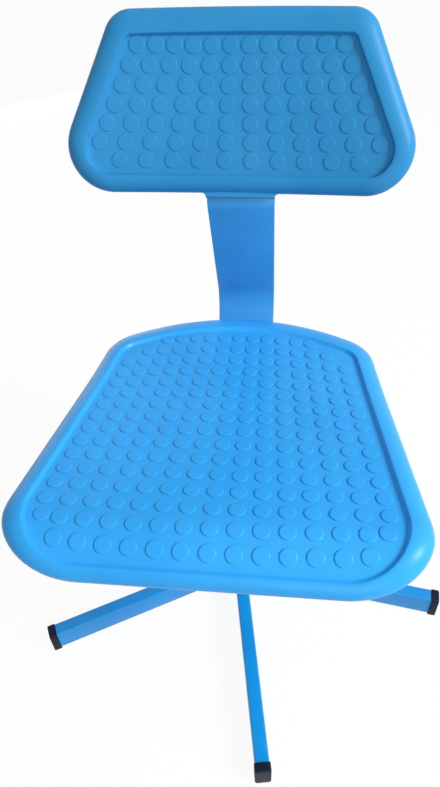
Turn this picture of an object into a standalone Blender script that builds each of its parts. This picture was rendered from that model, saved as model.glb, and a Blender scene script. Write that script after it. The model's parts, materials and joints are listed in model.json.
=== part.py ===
"""Swivel desk chair with a moulded seat and backrest, a bent flat-steel back bar and a five-leg star base.

All sizes are in metres and +Z is up. The floor is z = 0 and the swivel axis is the Z axis. The sitter faces -Y.
The seat and the backrest are drawn flat, as plan (u, s) and height h above the panel, and are then bent.
"""

import math
from collections import namedtuple

import bmesh
import bpy
from mathutils import Matrix, Vector

# Clearance between pieces that touch
GAP = 0.0003

# Where the swivel axis stands: this centres the base's box on the origin
HUB_PLACE = (-0.0164, 0.0126, 0.0)

# Star base
LEG_COUNT = 5
LEG_FIRST_ANGLE = math.radians(-79.8)
BASE_RADIUS = 0.332
LEG_WIDTH = 0.020
LEG_HEIGHT = 0.040
LEG_WALL = 0.0015
LEG_CORNER = 0.0025
LEG_SLOPE = math.radians(2.0)
CAP_WALL = 0.0012
CAP_SOLE = 0.003
CAP_END = 0.003
CAP_HOOD = 0.012
CAP_PLUG = 0.018
CAP_EDGE = 0.0012
HUB_RADIUS = 0.030
HUB_BOTTOM = 0.010
HUB_TOP = 0.060

# Gas column
STAND_RADIUS = 0.025
STAND_WALL = 0.002
STAND_TOP = 0.245
STAND_FLOOR = 0.003
BUSH_LENGTH = 0.080
BUSH_FLANGE = 0.004
ROD_RADIUS = 0.005
ROD_BOTTOM = 0.005
ROD_TOP = 0.300
ROD_COLLAR = 0.009
ROD_COLLAR_HEIGHT = 0.006
PISTON_HEIGHT = 0.010
CLIP_RADIUS = 0.010
CLIP_THICKNESS = 0.0012
WASHER_THICKNESS = 0.0025
TUBE_RADIUS = 0.014
TUBE_WALL = 0.003
TUBE_END = 0.008
TUBE_PROUD = 0.002
BUTTON_RADIUS = 0.004
BUTTON_LENGTH = 0.020
BUTTON_PROUD = 0.006
SOCKET_WALL = 0.005
SOCKET_LENGTH = 0.058

# Seat
SEAT_HEIGHT = 0.4457
SEAT_TILT = math.radians(6.17)
SEAT_FRONT = -0.317
SEAT_REAR = 0.155
SEAT_HALF_WIDTH = 0.196
SEAT_TAPER = 0.116
SEAT_FRONT_CORNER = 0.085
SEAT_REAR_CORNER = 0.060
SEAT_REAR_RADIUS = 0.312
SEAT_RIM = 0.028
SEAT_RIM_REAR = 0.034
SEAT_PANEL = 0.005
SEAT_EDGE_DEPTH = 0.028
ROLL_START = -0.233
ROLL_RADIUS = 0.062
DISH_START = -0.020
DISH_RADIUS = 1.1
RIM_RISE = 0.0045
RIM_CREST = 0.78
RIM_SHOULDER = 0.012
SHELL_WALL = 0.004
RIB_THICKNESS = 0.003
RIB_DEPTH = 0.012

# Raised discs that cover the seat and the backrest
DISC_RADIUS = 0.0088
DISC_RISE = 0.0013
DISC_SIDES = 6
SEAT_DISC_ROWS = 16
SEAT_DISC_REACH = 7
SEAT_DISC_FIRST_ROW = -0.2725
SEAT_DISC_ROW_PITCH = 0.0251
SEAT_DISC_PITCH = 0.0262
SEAT_DISC_PITCH_STEP = 0.0004
SEAT_DISC_BOW = 0.0061
SEAT_DISC_BOW_STEP = 0.0015
SEAT_DISC_CORNER = (0.135, -0.232)
SEAT_DISC_CORNER_REACH = 0.044
BACK_DISC_ROWS = 6
BACK_DISC_COUNT = 12
BACK_DISC_TOP_ROW = 0.1523
BACK_DISC_ROW_PITCH = 0.0199
BACK_DISC_PITCH = 0.0205
BACK_DISC_PITCH_STEP = 0.00167
BACK_DISC_LOWEST_ROW = 0.0337
BACK_DISC_LOWEST_PITCH = 0.0305
BACK_DISC_LOWEST_COUNT = 10

# Mounting plate under the seat
PLATE_THICKNESS = 0.003
PLATE_HALF_WIDTH = 0.085
PLATE_FRONT = -0.090
PLATE_REAR = 0.090
PLATE_CORNER = 0.012
SEAT_SCREW_HALF_SPACING = 0.070
SEAT_SCREW_FRONT = -0.072
SEAT_SCREW_REAR = 0.072
BOSS_RADIUS = 0.008
BOSS_DROP = 0.002

# Release lever, carried on the plate beside the column
LEVER_RADIUS = 0.0035
LEVER_PIVOT = 0.045
LEVER_PRESS_GAP = 0.0006
LEVER_DIP_START = 0.092
LEVER_DIP_END = 0.116
LEVER_DIP = 0.028
LEVER_END = 0.178
LEVER_EYE = 0.006
LEVER_EYE_WIDTH = 0.010
LEVER_PIN_RADIUS = 0.002
BRACKET_THICKNESS = 0.002
BRACKET_LENGTH = 0.016
BRACKET_CLEARANCE = 0.0005
GRIP_RADIUS = 0.007
GRIP_LENGTH = 0.036

# Back bar, a bent strip of flat steel
BAR_WIDTH = 0.082
BAR_THICKNESS = 0.005
BAR_START = 0.028
BAR_REACH = 0.219
BAR_LOWER_RADIUS = 0.060
BAR_UPPER_RADIUS = 0.060
BAR_BEND_BELOW_BACK = 0.004
BAR_EDGE = 0.001
BAR_BOLT_HALF_SPACING = 0.022
BAR_BOLT_PLACE = 0.055
BAR_OVERLAP = 0.118
BAR_SHIFT = 0.0055
BAR_LEAN = math.radians(0.2)

# Backrest
BACK_EDGE_PLACE = (0.0672, 0.2302)
BACK_RECLINE = math.radians(13.75)
BACK_HEIGHT = 0.1925
BACK_HALF_WIDTH = 0.2222
BACK_TAPER = 0.446
BACK_LOWER_CORNER = 0.049
BACK_UPPER_CORNER = 0.030
BACK_TOP_RADIUS = 3.0
BACK_RIM_LOWER = 0.0205
BACK_RIM_UPPER = 0.0300
BACK_RIM_SIDE = 0.0252
BACK_RECESS_TAPER = 0.470
BACK_RECESS_LOWER_CORNER = 0.0265
BACK_RECESS_UPPER_CORNER = 0.006
BACK_PANEL = 0.005
BACK_EDGE_DEPTH = 0.022
BACK_CURVE_RADIUS = 0.90
BACK_BOSS_RADIUS = 0.007
BACK_BOSS_HEIGHT = 0.008
BACK_SCREW_HALF_SPACING = 0.024
BACK_SCREW_LOWER = 0.060
BACK_SCREW_UPPER = 0.098
TAB_HEIGHT = 0.006
TAB_THICKNESS = 0.005
TAB_MARGIN = 0.002

# Screws with a hexagon socket, and nuts
SCREW_RADIUS = 0.003
SCREW_HEAD_RADIUS = 0.005
SCREW_HEAD_HEIGHT = 0.0035
SCREW_SOCKET = 0.0022
SCREW_BITE = 0.016
NUT_RADIUS = 0.0058
NUT_HEIGHT = 0.005
BOLT_PROUD = 0.002

# Facets
ROUND_STEPS = 24
SMALL_STEPS = 8
SMOOTH_ANGLE = math.radians(35.0)

BLUE_SEAT = (0.035, 0.300, 0.760, 1.0)
BLUE_BACK = (0.040, 0.240, 0.620, 1.0)
BLUE_PAINT = (0.030, 0.210, 0.690, 1.0)
NEAR_BLACK = (0.012, 0.014, 0.020, 1.0)
STEEL = (0.55, 0.56, 0.58, 1.0)

Outline = namedtuple("Outline", "front rear half_width taper front_corner rear_corner rear_radius")

# The plans of the seat and the backrest, and of the recesses inside their rims
SEAT_OUTLINE = Outline(SEAT_FRONT, SEAT_REAR, SEAT_HALF_WIDTH, SEAT_TAPER, SEAT_FRONT_CORNER,
                       SEAT_REAR_CORNER, SEAT_REAR_RADIUS)
SEAT_RECESS = Outline(SEAT_FRONT + SEAT_RIM, SEAT_REAR - SEAT_RIM_REAR,
                      SEAT_HALF_WIDTH - SEAT_RIM * math.hypot(1.0, SEAT_TAPER), SEAT_TAPER,
                      SEAT_FRONT_CORNER - SEAT_RIM, SEAT_REAR_CORNER - SEAT_RIM, SEAT_REAR_RADIUS - SEAT_RIM_REAR)
BACK_OUTLINE = Outline(0.0, BACK_HEIGHT, BACK_HALF_WIDTH, BACK_TAPER, BACK_LOWER_CORNER,
                       BACK_UPPER_CORNER, BACK_TOP_RADIUS)
BACK_RECESS = Outline(BACK_RIM_LOWER, BACK_HEIGHT - BACK_RIM_UPPER, BACK_HALF_WIDTH - BACK_RIM_SIDE,
                      BACK_RECESS_TAPER, BACK_RECESS_LOWER_CORNER, BACK_RECESS_UPPER_CORNER,
                      BACK_TOP_RADIUS - BACK_RIM_UPPER)

# Levels that several pieces share, in the seat's frame (h is up from the panel) or above the floor
PLATE_TOP = -SEAT_EDGE_DEPTH - BOSS_DROP - GAP
PLATE_BOTTOM = PLATE_TOP - PLATE_THICKNESS
BAR_LEVEL = PLATE_BOTTOM - GAP
COLLAR_LEVEL = HUB_BOTTOM + STAND_FLOOR + WASHER_THICKNESS + 2 * GAP
TUBE_BOTTOM = COLLAR_LEVEL + ROD_COLLAR_HEIGHT + GAP
TUBE_TOP = SEAT_HEIGHT + PLATE_TOP + TUBE_PROUD
LEVER_LEVEL = PLATE_TOP + TUBE_PROUD + BUTTON_PROUD + LEVER_PRESS_GAP + LEVER_RADIUS
BACK_BAR_LEVEL = -BACK_PANEL - BACK_BOSS_HEIGHT - GAP


def clear_scene():
    """Removes whatever the scene holds."""
    for item in list(bpy.data.objects):
        bpy.data.objects.remove(item, do_unlink=True)


def material(name, color, roughness, metallic):
    """Makes a plain Principled material."""
    made = bpy.data.materials.new(name)
    made.use_nodes = True
    shader = made.node_tree.nodes["Principled BSDF"]
    shader.inputs["Base Color"].default_value = color
    shader.inputs["Roughness"].default_value = roughness
    shader.inputs["Metallic"].default_value = metallic
    made.diffuse_color = color
    return made


def empty(name, location, rotation, parent=None):
    """Makes an empty that carries other pieces."""
    made = bpy.data.objects.new(name, None)
    made.location = location
    made.rotation_euler = rotation
    made.parent = parent
    bpy.context.collection.objects.link(made)
    return made


def place(name, shape, finish, parent=None, location=(0.0, 0.0, 0.0), rotation=(0.0, 0.0, 0.0)):
    """Turns a bmesh into a named object and frees the bmesh."""
    mesh = bpy.data.meshes.new(name)
    bmesh.ops.triangulate(shape, faces=shape.faces[:])
    shape.to_mesh(mesh)
    shape.free()
    mesh.materials.append(finish)
    mesh.shade_smooth()
    mesh.set_sharp_from_angle(angle=SMOOTH_ANGLE)
    made = bpy.data.objects.new(name, mesh)
    made.location = location
    made.rotation_euler = rotation
    made.parent = parent
    bpy.context.collection.objects.link(made)
    return made


def combined(first, second, operation):
    """Joins or cuts two closed shapes with an exact Boolean, and returns the result as a bmesh."""
    pair = []
    for shape in (first, second):
        mesh = bpy.data.meshes.new("blank")
        shape.to_mesh(mesh)
        shape.free()
        blank = bpy.data.objects.new("blank", mesh)
        bpy.context.collection.objects.link(blank)
        pair.append(blank)
    modifier = pair[0].modifiers.new("shape", "BOOLEAN")
    modifier.operation = operation
    modifier.solver = "EXACT"
    modifier.object = pair[1]
    evaluated = pair[0].evaluated_get(bpy.context.evaluated_depsgraph_get())
    result = bmesh.new()
    result.from_mesh(evaluated.to_mesh())
    evaluated.to_mesh_clear()
    bmesh.ops.remove_doubles(result, verts=result.verts[:], dist=1e-6)
    for blank in pair:
        mesh = blank.data
        bpy.data.objects.remove(blank, do_unlink=True)
        bpy.data.meshes.remove(mesh)
    return result


def merged(shapes):
    """Puts several shapes that do not touch into one bmesh."""
    whole = bmesh.new()
    for shape in shapes:
        mesh = bpy.data.meshes.new("blank")
        shape.to_mesh(mesh)
        shape.free()
        whole.from_mesh(mesh)
        bpy.data.meshes.remove(mesh)
    return whole


def turned(profile, steps=ROUND_STEPS):
    """Spins a profile of (radius, height) points about Z. A profile that starts and ends on the axis is solid."""
    shape = bmesh.new()
    points = [shape.verts.new((radius, 0.0, height)) for radius, height in profile]
    pairs = list(zip(points, points[1:]))
    if profile[0][0] > 0.0:
        pairs.append((points[-1], points[0]))
    edges = [shape.edges.new(pair) for pair in pairs]
    bmesh.ops.spin(shape, geom=points + edges, axis=(0, 0, 1), cent=(0, 0, 0), angle=math.tau, steps=steps,
                   use_merge=True)
    bmesh.ops.remove_doubles(shape, verts=shape.verts[:], dist=1e-7)
    bmesh.ops.recalc_face_normals(shape, faces=shape.faces[:])
    return shape


def rod(radius, low, high, steps=SMALL_STEPS):
    """A plain upright cylinder between two heights."""
    return turned([(0.0, low), (radius, low), (radius, high), (0.0, high)], steps)


def ring(inner, outer, low, high, steps=ROUND_STEPS):
    """A plain upright tube between two heights."""
    return turned([(inner, low), (outer, low), (outer, high), (inner, high)], steps)


def moved(shape, matrix):
    """Moves a shape by a matrix and returns it."""
    bmesh.ops.transform(shape, matrix=matrix, verts=shape.verts[:])
    return shape


def shifted(shape, x, y, z):
    """Moves a shape without turning it."""
    return moved(shape, Matrix.Translation((x, y, z)))


def block(low, high):
    """A box between two corners."""
    shape = bmesh.new()
    low, high = Vector(low), Vector(high)
    size = Matrix.Diagonal((high - low).to_4d())
    size[3][3] = 1.0
    bmesh.ops.create_cube(shape, size=1.0, matrix=Matrix.Translation((low + high) / 2) @ size)
    return shape


def prism(points, depth):
    """Extrudes an outline of (x, y) points upwards from z = 0."""
    shape = bmesh.new()
    face = shape.faces.new([shape.verts.new((x, y, 0.0)) for x, y in points])
    extruded = bmesh.ops.extrude_face_region(shape, geom=[face])["geom"]
    tops = [item for item in extruded if isinstance(item, bmesh.types.BMVert)]
    bmesh.ops.translate(shape, verts=tops, vec=(0.0, 0.0, depth))
    bmesh.ops.recalc_face_normals(shape, faces=shape.faces[:])
    return shape


def rounded_rectangle(half_x, half_y, radius, steps=2):
    """The points of a rectangle about the origin with round corners, anticlockwise."""
    points = []
    for quarter, (sign_x, sign_y) in enumerate(((1, 1), (-1, 1), (-1, -1), (1, -1))):
        for step in range(steps + 1):
            angle = math.pi / 2 * (quarter + step / steps)
            points.append((sign_x * (half_x - radius) + radius * math.cos(angle),
                           sign_y * (half_y - radius) + radius * math.sin(angle)))
    return points


def box_tube(half_x, half_y, radius, low, high):
    """A bar of rounded-rectangle section that lies along X, with its section's width along Y."""
    shape = prism(rounded_rectangle(half_x, half_y, radius), high - low)
    turn = Matrix(((0, 0, 1, low), (1, 0, 0, 0), (0, 1, 0, 0), (0, 0, 0, 1)))
    return moved(shape, turn)


def arc(center, radius, start, end, steps):
    """Points on an arc, both ends included."""
    span = [start + (end - start) * step / steps for step in range(steps + 1)]
    return [(center[0] + radius * math.cos(a), center[1] + radius * math.sin(a)) for a in span]


def leg_drop(shape):
    """Slopes a leg piece down towards its tip, and keeps what stands on the floor flat."""
    for vert in shape.verts:
        if vert.co.z > GAP:
            vert.co.z += (BASE_RADIUS - vert.co.x) * math.tan(LEG_SLOPE)
    return shape


def leg():
    """One leg: a rectangular tube along X, coped to the round hub at its inner end."""
    middle = CAP_SOLE + GAP + LEG_HEIGHT / 2
    end = BASE_RADIUS - CAP_END - GAP
    outer = box_tube(LEG_WIDTH / 2, LEG_HEIGHT / 2, LEG_CORNER, HUB_RADIUS / 2, end)
    bore = box_tube(LEG_WIDTH / 2 - LEG_WALL, LEG_HEIGHT / 2 - LEG_WALL, LEG_CORNER - LEG_WALL, 0.0, BASE_RADIUS)
    tube = leg_drop(shifted(combined(outer, bore, "DIFFERENCE"), 0.0, 0.0, middle))
    return combined(tube, rod(HUB_RADIUS + GAP, 0.0, 2 * HUB_TOP, ROUND_STEPS), "DIFFERENCE")


def end_cap():
    """The plastic end of a leg: a hood over the tube's end, a plug inside it and a flat sole on the floor."""
    half_width = LEG_WIDTH / 2 + GAP + CAP_WALL
    top = CAP_SOLE + LEG_HEIGHT + 2 * GAP + CAP_WALL
    hood = box_tube(half_width, top / 2, LEG_CORNER + CAP_WALL, BASE_RADIUS - CAP_HOOD, BASE_RADIUS)
    hood = shifted(hood, 0.0, 0.0, top / 2)
    bmesh.ops.bevel(hood, geom=[edge for edge in hood.edges if min(v.co.x for v in edge.verts) > BASE_RADIUS - GAP],
                    offset=CAP_EDGE, segments=1, affect="EDGES")
    middle = CAP_SOLE + GAP + LEG_HEIGHT / 2
    pocket = box_tube(LEG_WIDTH / 2 + GAP, LEG_HEIGHT / 2 + GAP, LEG_CORNER, 0.0, BASE_RADIUS - CAP_END)
    hood = combined(hood, shifted(pocket, 0.0, 0.0, middle), "DIFFERENCE")
    inner = LEG_WALL + GAP
    plug = box_tube(LEG_WIDTH / 2 - inner, LEG_HEIGHT / 2 - inner, LEG_CORNER - LEG_WALL,
                    BASE_RADIUS - CAP_END - CAP_PLUG, BASE_RADIUS - CAP_END / 2)
    return leg_drop(combined(hood, shifted(plug, 0.0, 0.0, middle), "UNION"))


def stand_tube():
    """The fixed tube of the column, with a floor that carries the rod."""
    inner = STAND_RADIUS - STAND_WALL
    hole = ROD_RADIUS + GAP
    floor = HUB_BOTTOM + STAND_FLOOR
    return turned([(hole, HUB_BOTTOM), (STAND_RADIUS, HUB_BOTTOM), (STAND_RADIUS, STAND_TOP), (inner, STAND_TOP),
                   (inner, floor), (hole, floor)])


def guide_bush():
    """The plastic bush that the pressure tube slides and turns in."""
    inner = TUBE_RADIUS + GAP
    outer = STAND_RADIUS - STAND_WALL - GAP
    seat = STAND_TOP + GAP
    return turned([(inner, STAND_TOP - BUSH_LENGTH), (outer, STAND_TOP - BUSH_LENGTH), (outer, seat),
                   (STAND_RADIUS, seat), (STAND_RADIUS, seat + BUSH_FLANGE), (inner, seat + BUSH_FLANGE)])


def piston_rod():
    """The rod that stands on the thrust washer, with its collar and piston."""
    collar_top = COLLAR_LEVEL + ROD_COLLAR_HEIGHT
    piston = TUBE_RADIUS - TUBE_WALL - GAP
    return turned([(0.0, ROD_BOTTOM), (ROD_RADIUS, ROD_BOTTOM), (ROD_RADIUS, COLLAR_LEVEL),
                   (ROD_COLLAR, COLLAR_LEVEL), (ROD_COLLAR, collar_top), (ROD_RADIUS, collar_top),
                   (ROD_RADIUS, ROD_TOP - PISTON_HEIGHT), (piston, ROD_TOP - PISTON_HEIGHT), (piston, ROD_TOP),
                   (0.0, ROD_TOP)])


def pressure_tube():
    """The sliding tube of the gas spring, which rests on the rod's collar at its lowest."""
    inner = TUBE_RADIUS - TUBE_WALL
    rod_hole = ROD_RADIUS + GAP
    button_hole = BUTTON_RADIUS + GAP
    return turned([(rod_hole, TUBE_BOTTOM), (TUBE_RADIUS, TUBE_BOTTOM), (TUBE_RADIUS, TUBE_TOP),
                   (button_hole, TUBE_TOP), (button_hole, TUBE_TOP - TUBE_END), (inner, TUBE_TOP - TUBE_END),
                   (inner, TUBE_BOTTOM + TUBE_END), (rod_hole, TUBE_BOTTOM + TUBE_END)])


def outline_points(shape):
    """The right half of a plan, from the front's middle to the rear's middle.

    The half is a straight front, a corner arc, a straight tapered side, a corner arc and a shallow rear arc, each
    tangent to the next.
    """
    stretch = math.hypot(1.0, shape.taper)
    turn = math.atan(shape.taper)
    front_s = shape.front + shape.front_corner
    front_center = (shape.half_width - shape.taper * front_s - shape.front_corner * stretch, front_s)
    reach = shape.rear_radius - shape.rear_corner
    rear_middle = shape.rear - shape.rear_radius
    offset = shape.half_width - shape.rear_corner * stretch
    half = offset * shape.taper + rear_middle
    rest = offset ** 2 + rear_middle ** 2 - reach ** 2
    rear_s = (half + math.sqrt(half ** 2 - stretch ** 2 * rest)) / stretch ** 2
    rear_center = (offset - shape.taper * rear_s, rear_s)
    rear_turn = math.atan2(rear_s - rear_middle, rear_center[0])
    points = [Vector((0.0, shape.front))]
    points += map(Vector, arc(front_center, shape.front_corner, -math.pi / 2, turn, 6))
    points += map(Vector, arc(rear_center, shape.rear_corner, turn, rear_turn, 4))
    points += map(Vector, arc((0.0, rear_middle), shape.rear_radius, rear_turn, math.pi / 2, 3)[1:])
    return points


def shell_section(panel, edge_depth):
    """The shell's wall as (share, height) pairs, from the panel's top round the rim to the panel's underside.

    The share is 0 at the outer edge and 1 at the recess. A short wall climbs from the recess to the rim's crest, the
    crown falls away from it as a quarter of an ellipse, and a straight skirt goes down to the lip. The underside
    follows it one wall's thickness inside.
    """
    section = [(1.0, 0.0)]
    for step in range(5):
        angle = math.pi / 2 * (1.0 - step / 4)
        height = (RIM_RISE + RIM_SHOULDER) * math.sin(angle) - RIM_SHOULDER
        section.append((RIM_CREST * (1.0 - math.cos(angle)), height))
    wall = SHELL_WALL / SEAT_RIM
    section += [(0.0, -edge_depth), (wall, -edge_depth), (wall, -RIM_SHOULDER - SHELL_WALL / 2)]
    section += [(RIM_CREST / 2, RIM_RISE - SHELL_WALL * 1.7), (RIM_CREST, RIM_RISE - SHELL_WALL * 1.3), (1.0, -panel)]
    return section


def flat_shell(outer, recess, panel, edge_depth):
    """The flat form of the seat or the backrest: rings of the plan at each step of the section, and two panels."""
    shell = bmesh.new()
    outer_half = outline_points(outer)
    recess_half = outline_points(recess)
    rings = []
    for share, height in shell_section(panel, edge_depth):
        half = [far.lerp(near, share) for far, near in zip(outer_half, recess_half)]
        plan = half + [Vector((-point.x, point.y)) for point in reversed(half[1:-1])]
        rings.append([shell.verts.new((point.x, point.y, height)) for point in plan])
    shell.faces.new(rings[0])
    shell.faces.new(rings[-1][::-1])
    count = len(rings[0])
    for upper, lower in zip(rings, rings[1:]):
        for index in range(count):
            after = (index + 1) % count
            shell.faces.new((upper[index], lower[index], lower[after], upper[after]))
    bmesh.ops.recalc_face_normals(shell, faces=shell.faces[:])
    return shell


def discs(places):
    """Low prisms that stand a little into the flat panel, one at each (u, s) place."""
    return merged([shifted(rod(DISC_RADIUS, -DISC_RISE, DISC_RISE, DISC_SIDES), u, s, 0.0) for u, s in places])


def seat_bent(shape):
    """Bends a flat shape as the seat is bent."""
    for vert in shape.verts:
        vert.co.y, vert.co.z = seat_bend(vert.co.y, vert.co.z)
    return shape


def back_bent(shape):
    """Bends a flat shape as the backrest is bent, about an upright axis in front of it."""
    for vert in shape.verts:
        angle = vert.co.x / BACK_CURVE_RADIUS
        radius = BACK_CURVE_RADIUS - vert.co.z
        vert.co.x = radius * math.sin(angle)
        vert.co.z = BACK_CURVE_RADIUS - radius * math.cos(angle)
    return shape


def sliced(shape, normal, places):
    """Cuts new edges into a shape where planes cross it, so that it can bend there."""
    for value in places:
        geometry = shape.verts[:] + shape.edges[:] + shape.faces[:]
        bmesh.ops.bisect_plane(shape, geom=geometry, plane_co=Vector(normal) * value, plane_no=normal, dist=1e-6)
    bmesh.ops.triangulate(shape, faces=shape.faces[:])
    return shape


def seat_bend(s, h):
    """Where a point of the flat seat goes in the seat's frame: a rolled front, a flat middle, a raised rear."""
    if s < ROLL_START:
        angle = (ROLL_START - s) / ROLL_RADIUS
        radius = ROLL_RADIUS + h
        return ROLL_START - radius * math.sin(angle), radius * math.cos(angle) - ROLL_RADIUS
    if s > DISH_START:
        angle = (s - DISH_START) / DISH_RADIUS
        radius = DISH_RADIUS - h
        return DISH_START + radius * math.sin(angle), DISH_RADIUS - radius * math.cos(angle)
    return s, h


def seat_screw_places():
    """The plan of the four screws that hold the seat."""
    return [(side * SEAT_SCREW_HALF_SPACING, s) for s in (SEAT_SCREW_FRONT, SEAT_SCREW_REAR) for side in (-1, 1)]


def seat_disc_places():
    """The seat's discs: rows whose pitch and bow shrink towards the rear. The front corners draw their discs in."""
    places = []
    corner = Vector(SEAT_DISC_CORNER)
    for row in range(SEAT_DISC_ROWS):
        reach = SEAT_DISC_REACH
        if row in (0, SEAT_DISC_ROWS - 2):
            reach -= 1
        if row == SEAT_DISC_ROWS - 1:
            reach -= 2
        for column in range(-reach, reach + 1):
            bow = (SEAT_DISC_BOW - SEAT_DISC_BOW_STEP * row) * (column / SEAT_DISC_REACH) ** 2
            spot = Vector((abs(column) * (SEAT_DISC_PITCH - SEAT_DISC_PITCH_STEP * row),
                                  SEAT_DISC_FIRST_ROW + SEAT_DISC_ROW_PITCH * row + bow))
            offset = spot - corner
            if offset.x > 0.0 > offset.y and offset.length > SEAT_DISC_CORNER_REACH:
                spot = corner + offset.normalized() * SEAT_DISC_CORNER_REACH
            places.append((math.copysign(spot.x, column), spot.y))
    return places


def seat_shell():
    """The moulded seat: a panel with discs and a raised rim, ribs and bosses under it, and a rolled front edge."""
    shell = flat_shell(SEAT_OUTLINE, SEAT_RECESS, SEAT_PANEL, SEAT_EDGE_DEPTH)
    rib_top = -SEAT_PANEL / 2
    rib_low = -SEAT_PANEL - RIB_DEPTH
    half = RIB_THICKNESS / 2
    for s in (SEAT_SCREW_FRONT, SEAT_SCREW_REAR):
        reach = SEAT_HALF_WIDTH - SEAT_TAPER * s - SEAT_RIM
        shell = combined(shell, block((-reach, s - half, rib_low), (reach, s + half, rib_top)), "UNION")
    for side in (-1, 1):
        u = side * SEAT_SCREW_HALF_SPACING
        rib = block((u - half, ROLL_START, rib_low), (u + half, DISH_START, rib_top))
        shell = combined(shell, rib, "UNION")
    roll = [ROLL_START + (SEAT_FRONT - ROLL_START) * step / 7 for step in range(7)]
    dish = [DISH_START + (SEAT_REAR - DISH_START) * step / 3 for step in range(3)]
    shell = seat_bent(sliced(shell, (0, 1, 0), roll + dish))
    bosses = []
    bores = []
    for u, s in seat_screw_places():
        top = seat_bend(s, -SEAT_PANEL / 2)[1]
        bosses.append(shifted(rod(BOSS_RADIUS, PLATE_TOP + GAP, top), u, s, 0.0))
        bore = rod(SCREW_RADIUS + GAP, PLATE_BOTTOM, PLATE_TOP + GAP + SCREW_BITE + GAP)
        bores.append(shifted(bore, u, s, 0.0))
    shell = combined(shell, merged(bosses), "UNION")
    shell = combined(shell, merged(bores), "DIFFERENCE")
    return combined(shell, seat_bent(discs(seat_disc_places())), "UNION")


def back_screw_places():
    """The plan of the four screws that hold the backrest, in the backrest's frame."""
    return [(side * BACK_SCREW_HALF_SPACING, t) for t in (BACK_SCREW_LOWER, BACK_SCREW_UPPER) for side in (-1, 1)]


def back_disc_places():
    """The backrest's discs: rows that widen downwards, and a shorter lowest row."""
    rows = [(BACK_DISC_COUNT, BACK_DISC_PITCH + BACK_DISC_PITCH_STEP * row,
             BACK_DISC_TOP_ROW - BACK_DISC_ROW_PITCH * row) for row in range(BACK_DISC_ROWS)]
    rows.append((BACK_DISC_LOWEST_COUNT, BACK_DISC_LOWEST_PITCH, BACK_DISC_LOWEST_ROW))
    return [((column - (count - 1) / 2) * pitch, t) for count, pitch, t in rows for column in range(count)]


def backrest_shell():
    """The moulded backrest, in its own frame: X across, Y up along the panel and Z out of its front.

    It is bent about an upright axis in front of it. A notch in its lower skirt lets the bar in, and a small tab
    covers the bar from the front.
    """
    shell = flat_shell(BACK_OUTLINE, BACK_RECESS, BACK_PANEL, BACK_EDGE_DEPTH)
    shell = back_bent(sliced(shell, (1, 0, 0), [BACK_HALF_WIDTH * step / 4 for step in range(-3, 4)]))
    half = BAR_WIDTH / 2 + TAB_MARGIN
    tab_back = BACK_BAR_LEVEL + GAP
    tab = block((-half, -TAB_HEIGHT, tab_back), (half, SHELL_WALL / 2, tab_back + TAB_THICKNESS))
    shell = combined(shell, tab, "UNION")
    notch_half = BAR_WIDTH / 2 + GAP
    notch = block((-notch_half, -2 * TAB_HEIGHT, -2 * BACK_EDGE_DEPTH), (notch_half, BACK_RIM_LOWER / 2, tab_back))
    shell = combined(shell, notch, "DIFFERENCE")
    bosses = []
    bores = []
    for u, t in back_screw_places():
        bosses.append(shifted(rod(BACK_BOSS_RADIUS, BACK_BAR_LEVEL + GAP, -BACK_PANEL / 2), u, t, 0.0))
        bores.append(shifted(rod(SCREW_RADIUS + GAP, 2 * BACK_BAR_LEVEL, -BACK_PANEL / 2 - GAP), u, t, 0.0))
    shell = combined(shell, merged(bosses), "UNION")
    shell = combined(shell, merged(bores), "DIFFERENCE")
    return combined(shell, back_bent(discs(back_disc_places())), "UNION")


def back_direction():
    """The backrest's upward and forward directions, as (s, h) in the seat's frame."""
    up = Vector((math.sin(BACK_RECLINE), math.cos(BACK_RECLINE)))
    return up, Vector((-up.y, up.x))


def bar_path():
    """The bar's front face as (s, h) points in the seat's frame, from under the plate to behind the backrest.

    Three straight runs meet at two corners, and each corner is an arc tangent to both of its runs.
    """
    up, forward = back_direction()
    foot = Vector(BACK_EDGE_PLACE) + forward * BACK_BAR_LEVEL
    corners = [Vector((BAR_START, BAR_LEVEL)), Vector((BAR_REACH, BAR_LEVEL)), foot - up * BAR_BEND_BELOW_BACK,
               foot + up * BAR_OVERLAP]
    path = [corners[0]]
    for index, radius, steps in ((1, BAR_LOWER_RADIUS, 14), (2, BAR_UPPER_RADIUS, 6)):
        before = (corners[index - 1] - corners[index]).normalized()
        after = (corners[index + 1] - corners[index]).normalized()
        inner_half = before.angle(after) / 2
        center = corners[index] + (before + after).normalized() * radius / math.sin(inner_half)
        start = corners[index] + before * radius / math.tan(inner_half) - center
        end = corners[index] + after * radius / math.tan(inner_half) - center
        sweep = math.atan2(start.cross(end), start.dot(end))
        for step in range(steps + 1):
            path.append(center + Matrix.Rotation(sweep * step / steps, 2) @ start)
    path.append(corners[3])
    return path


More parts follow.
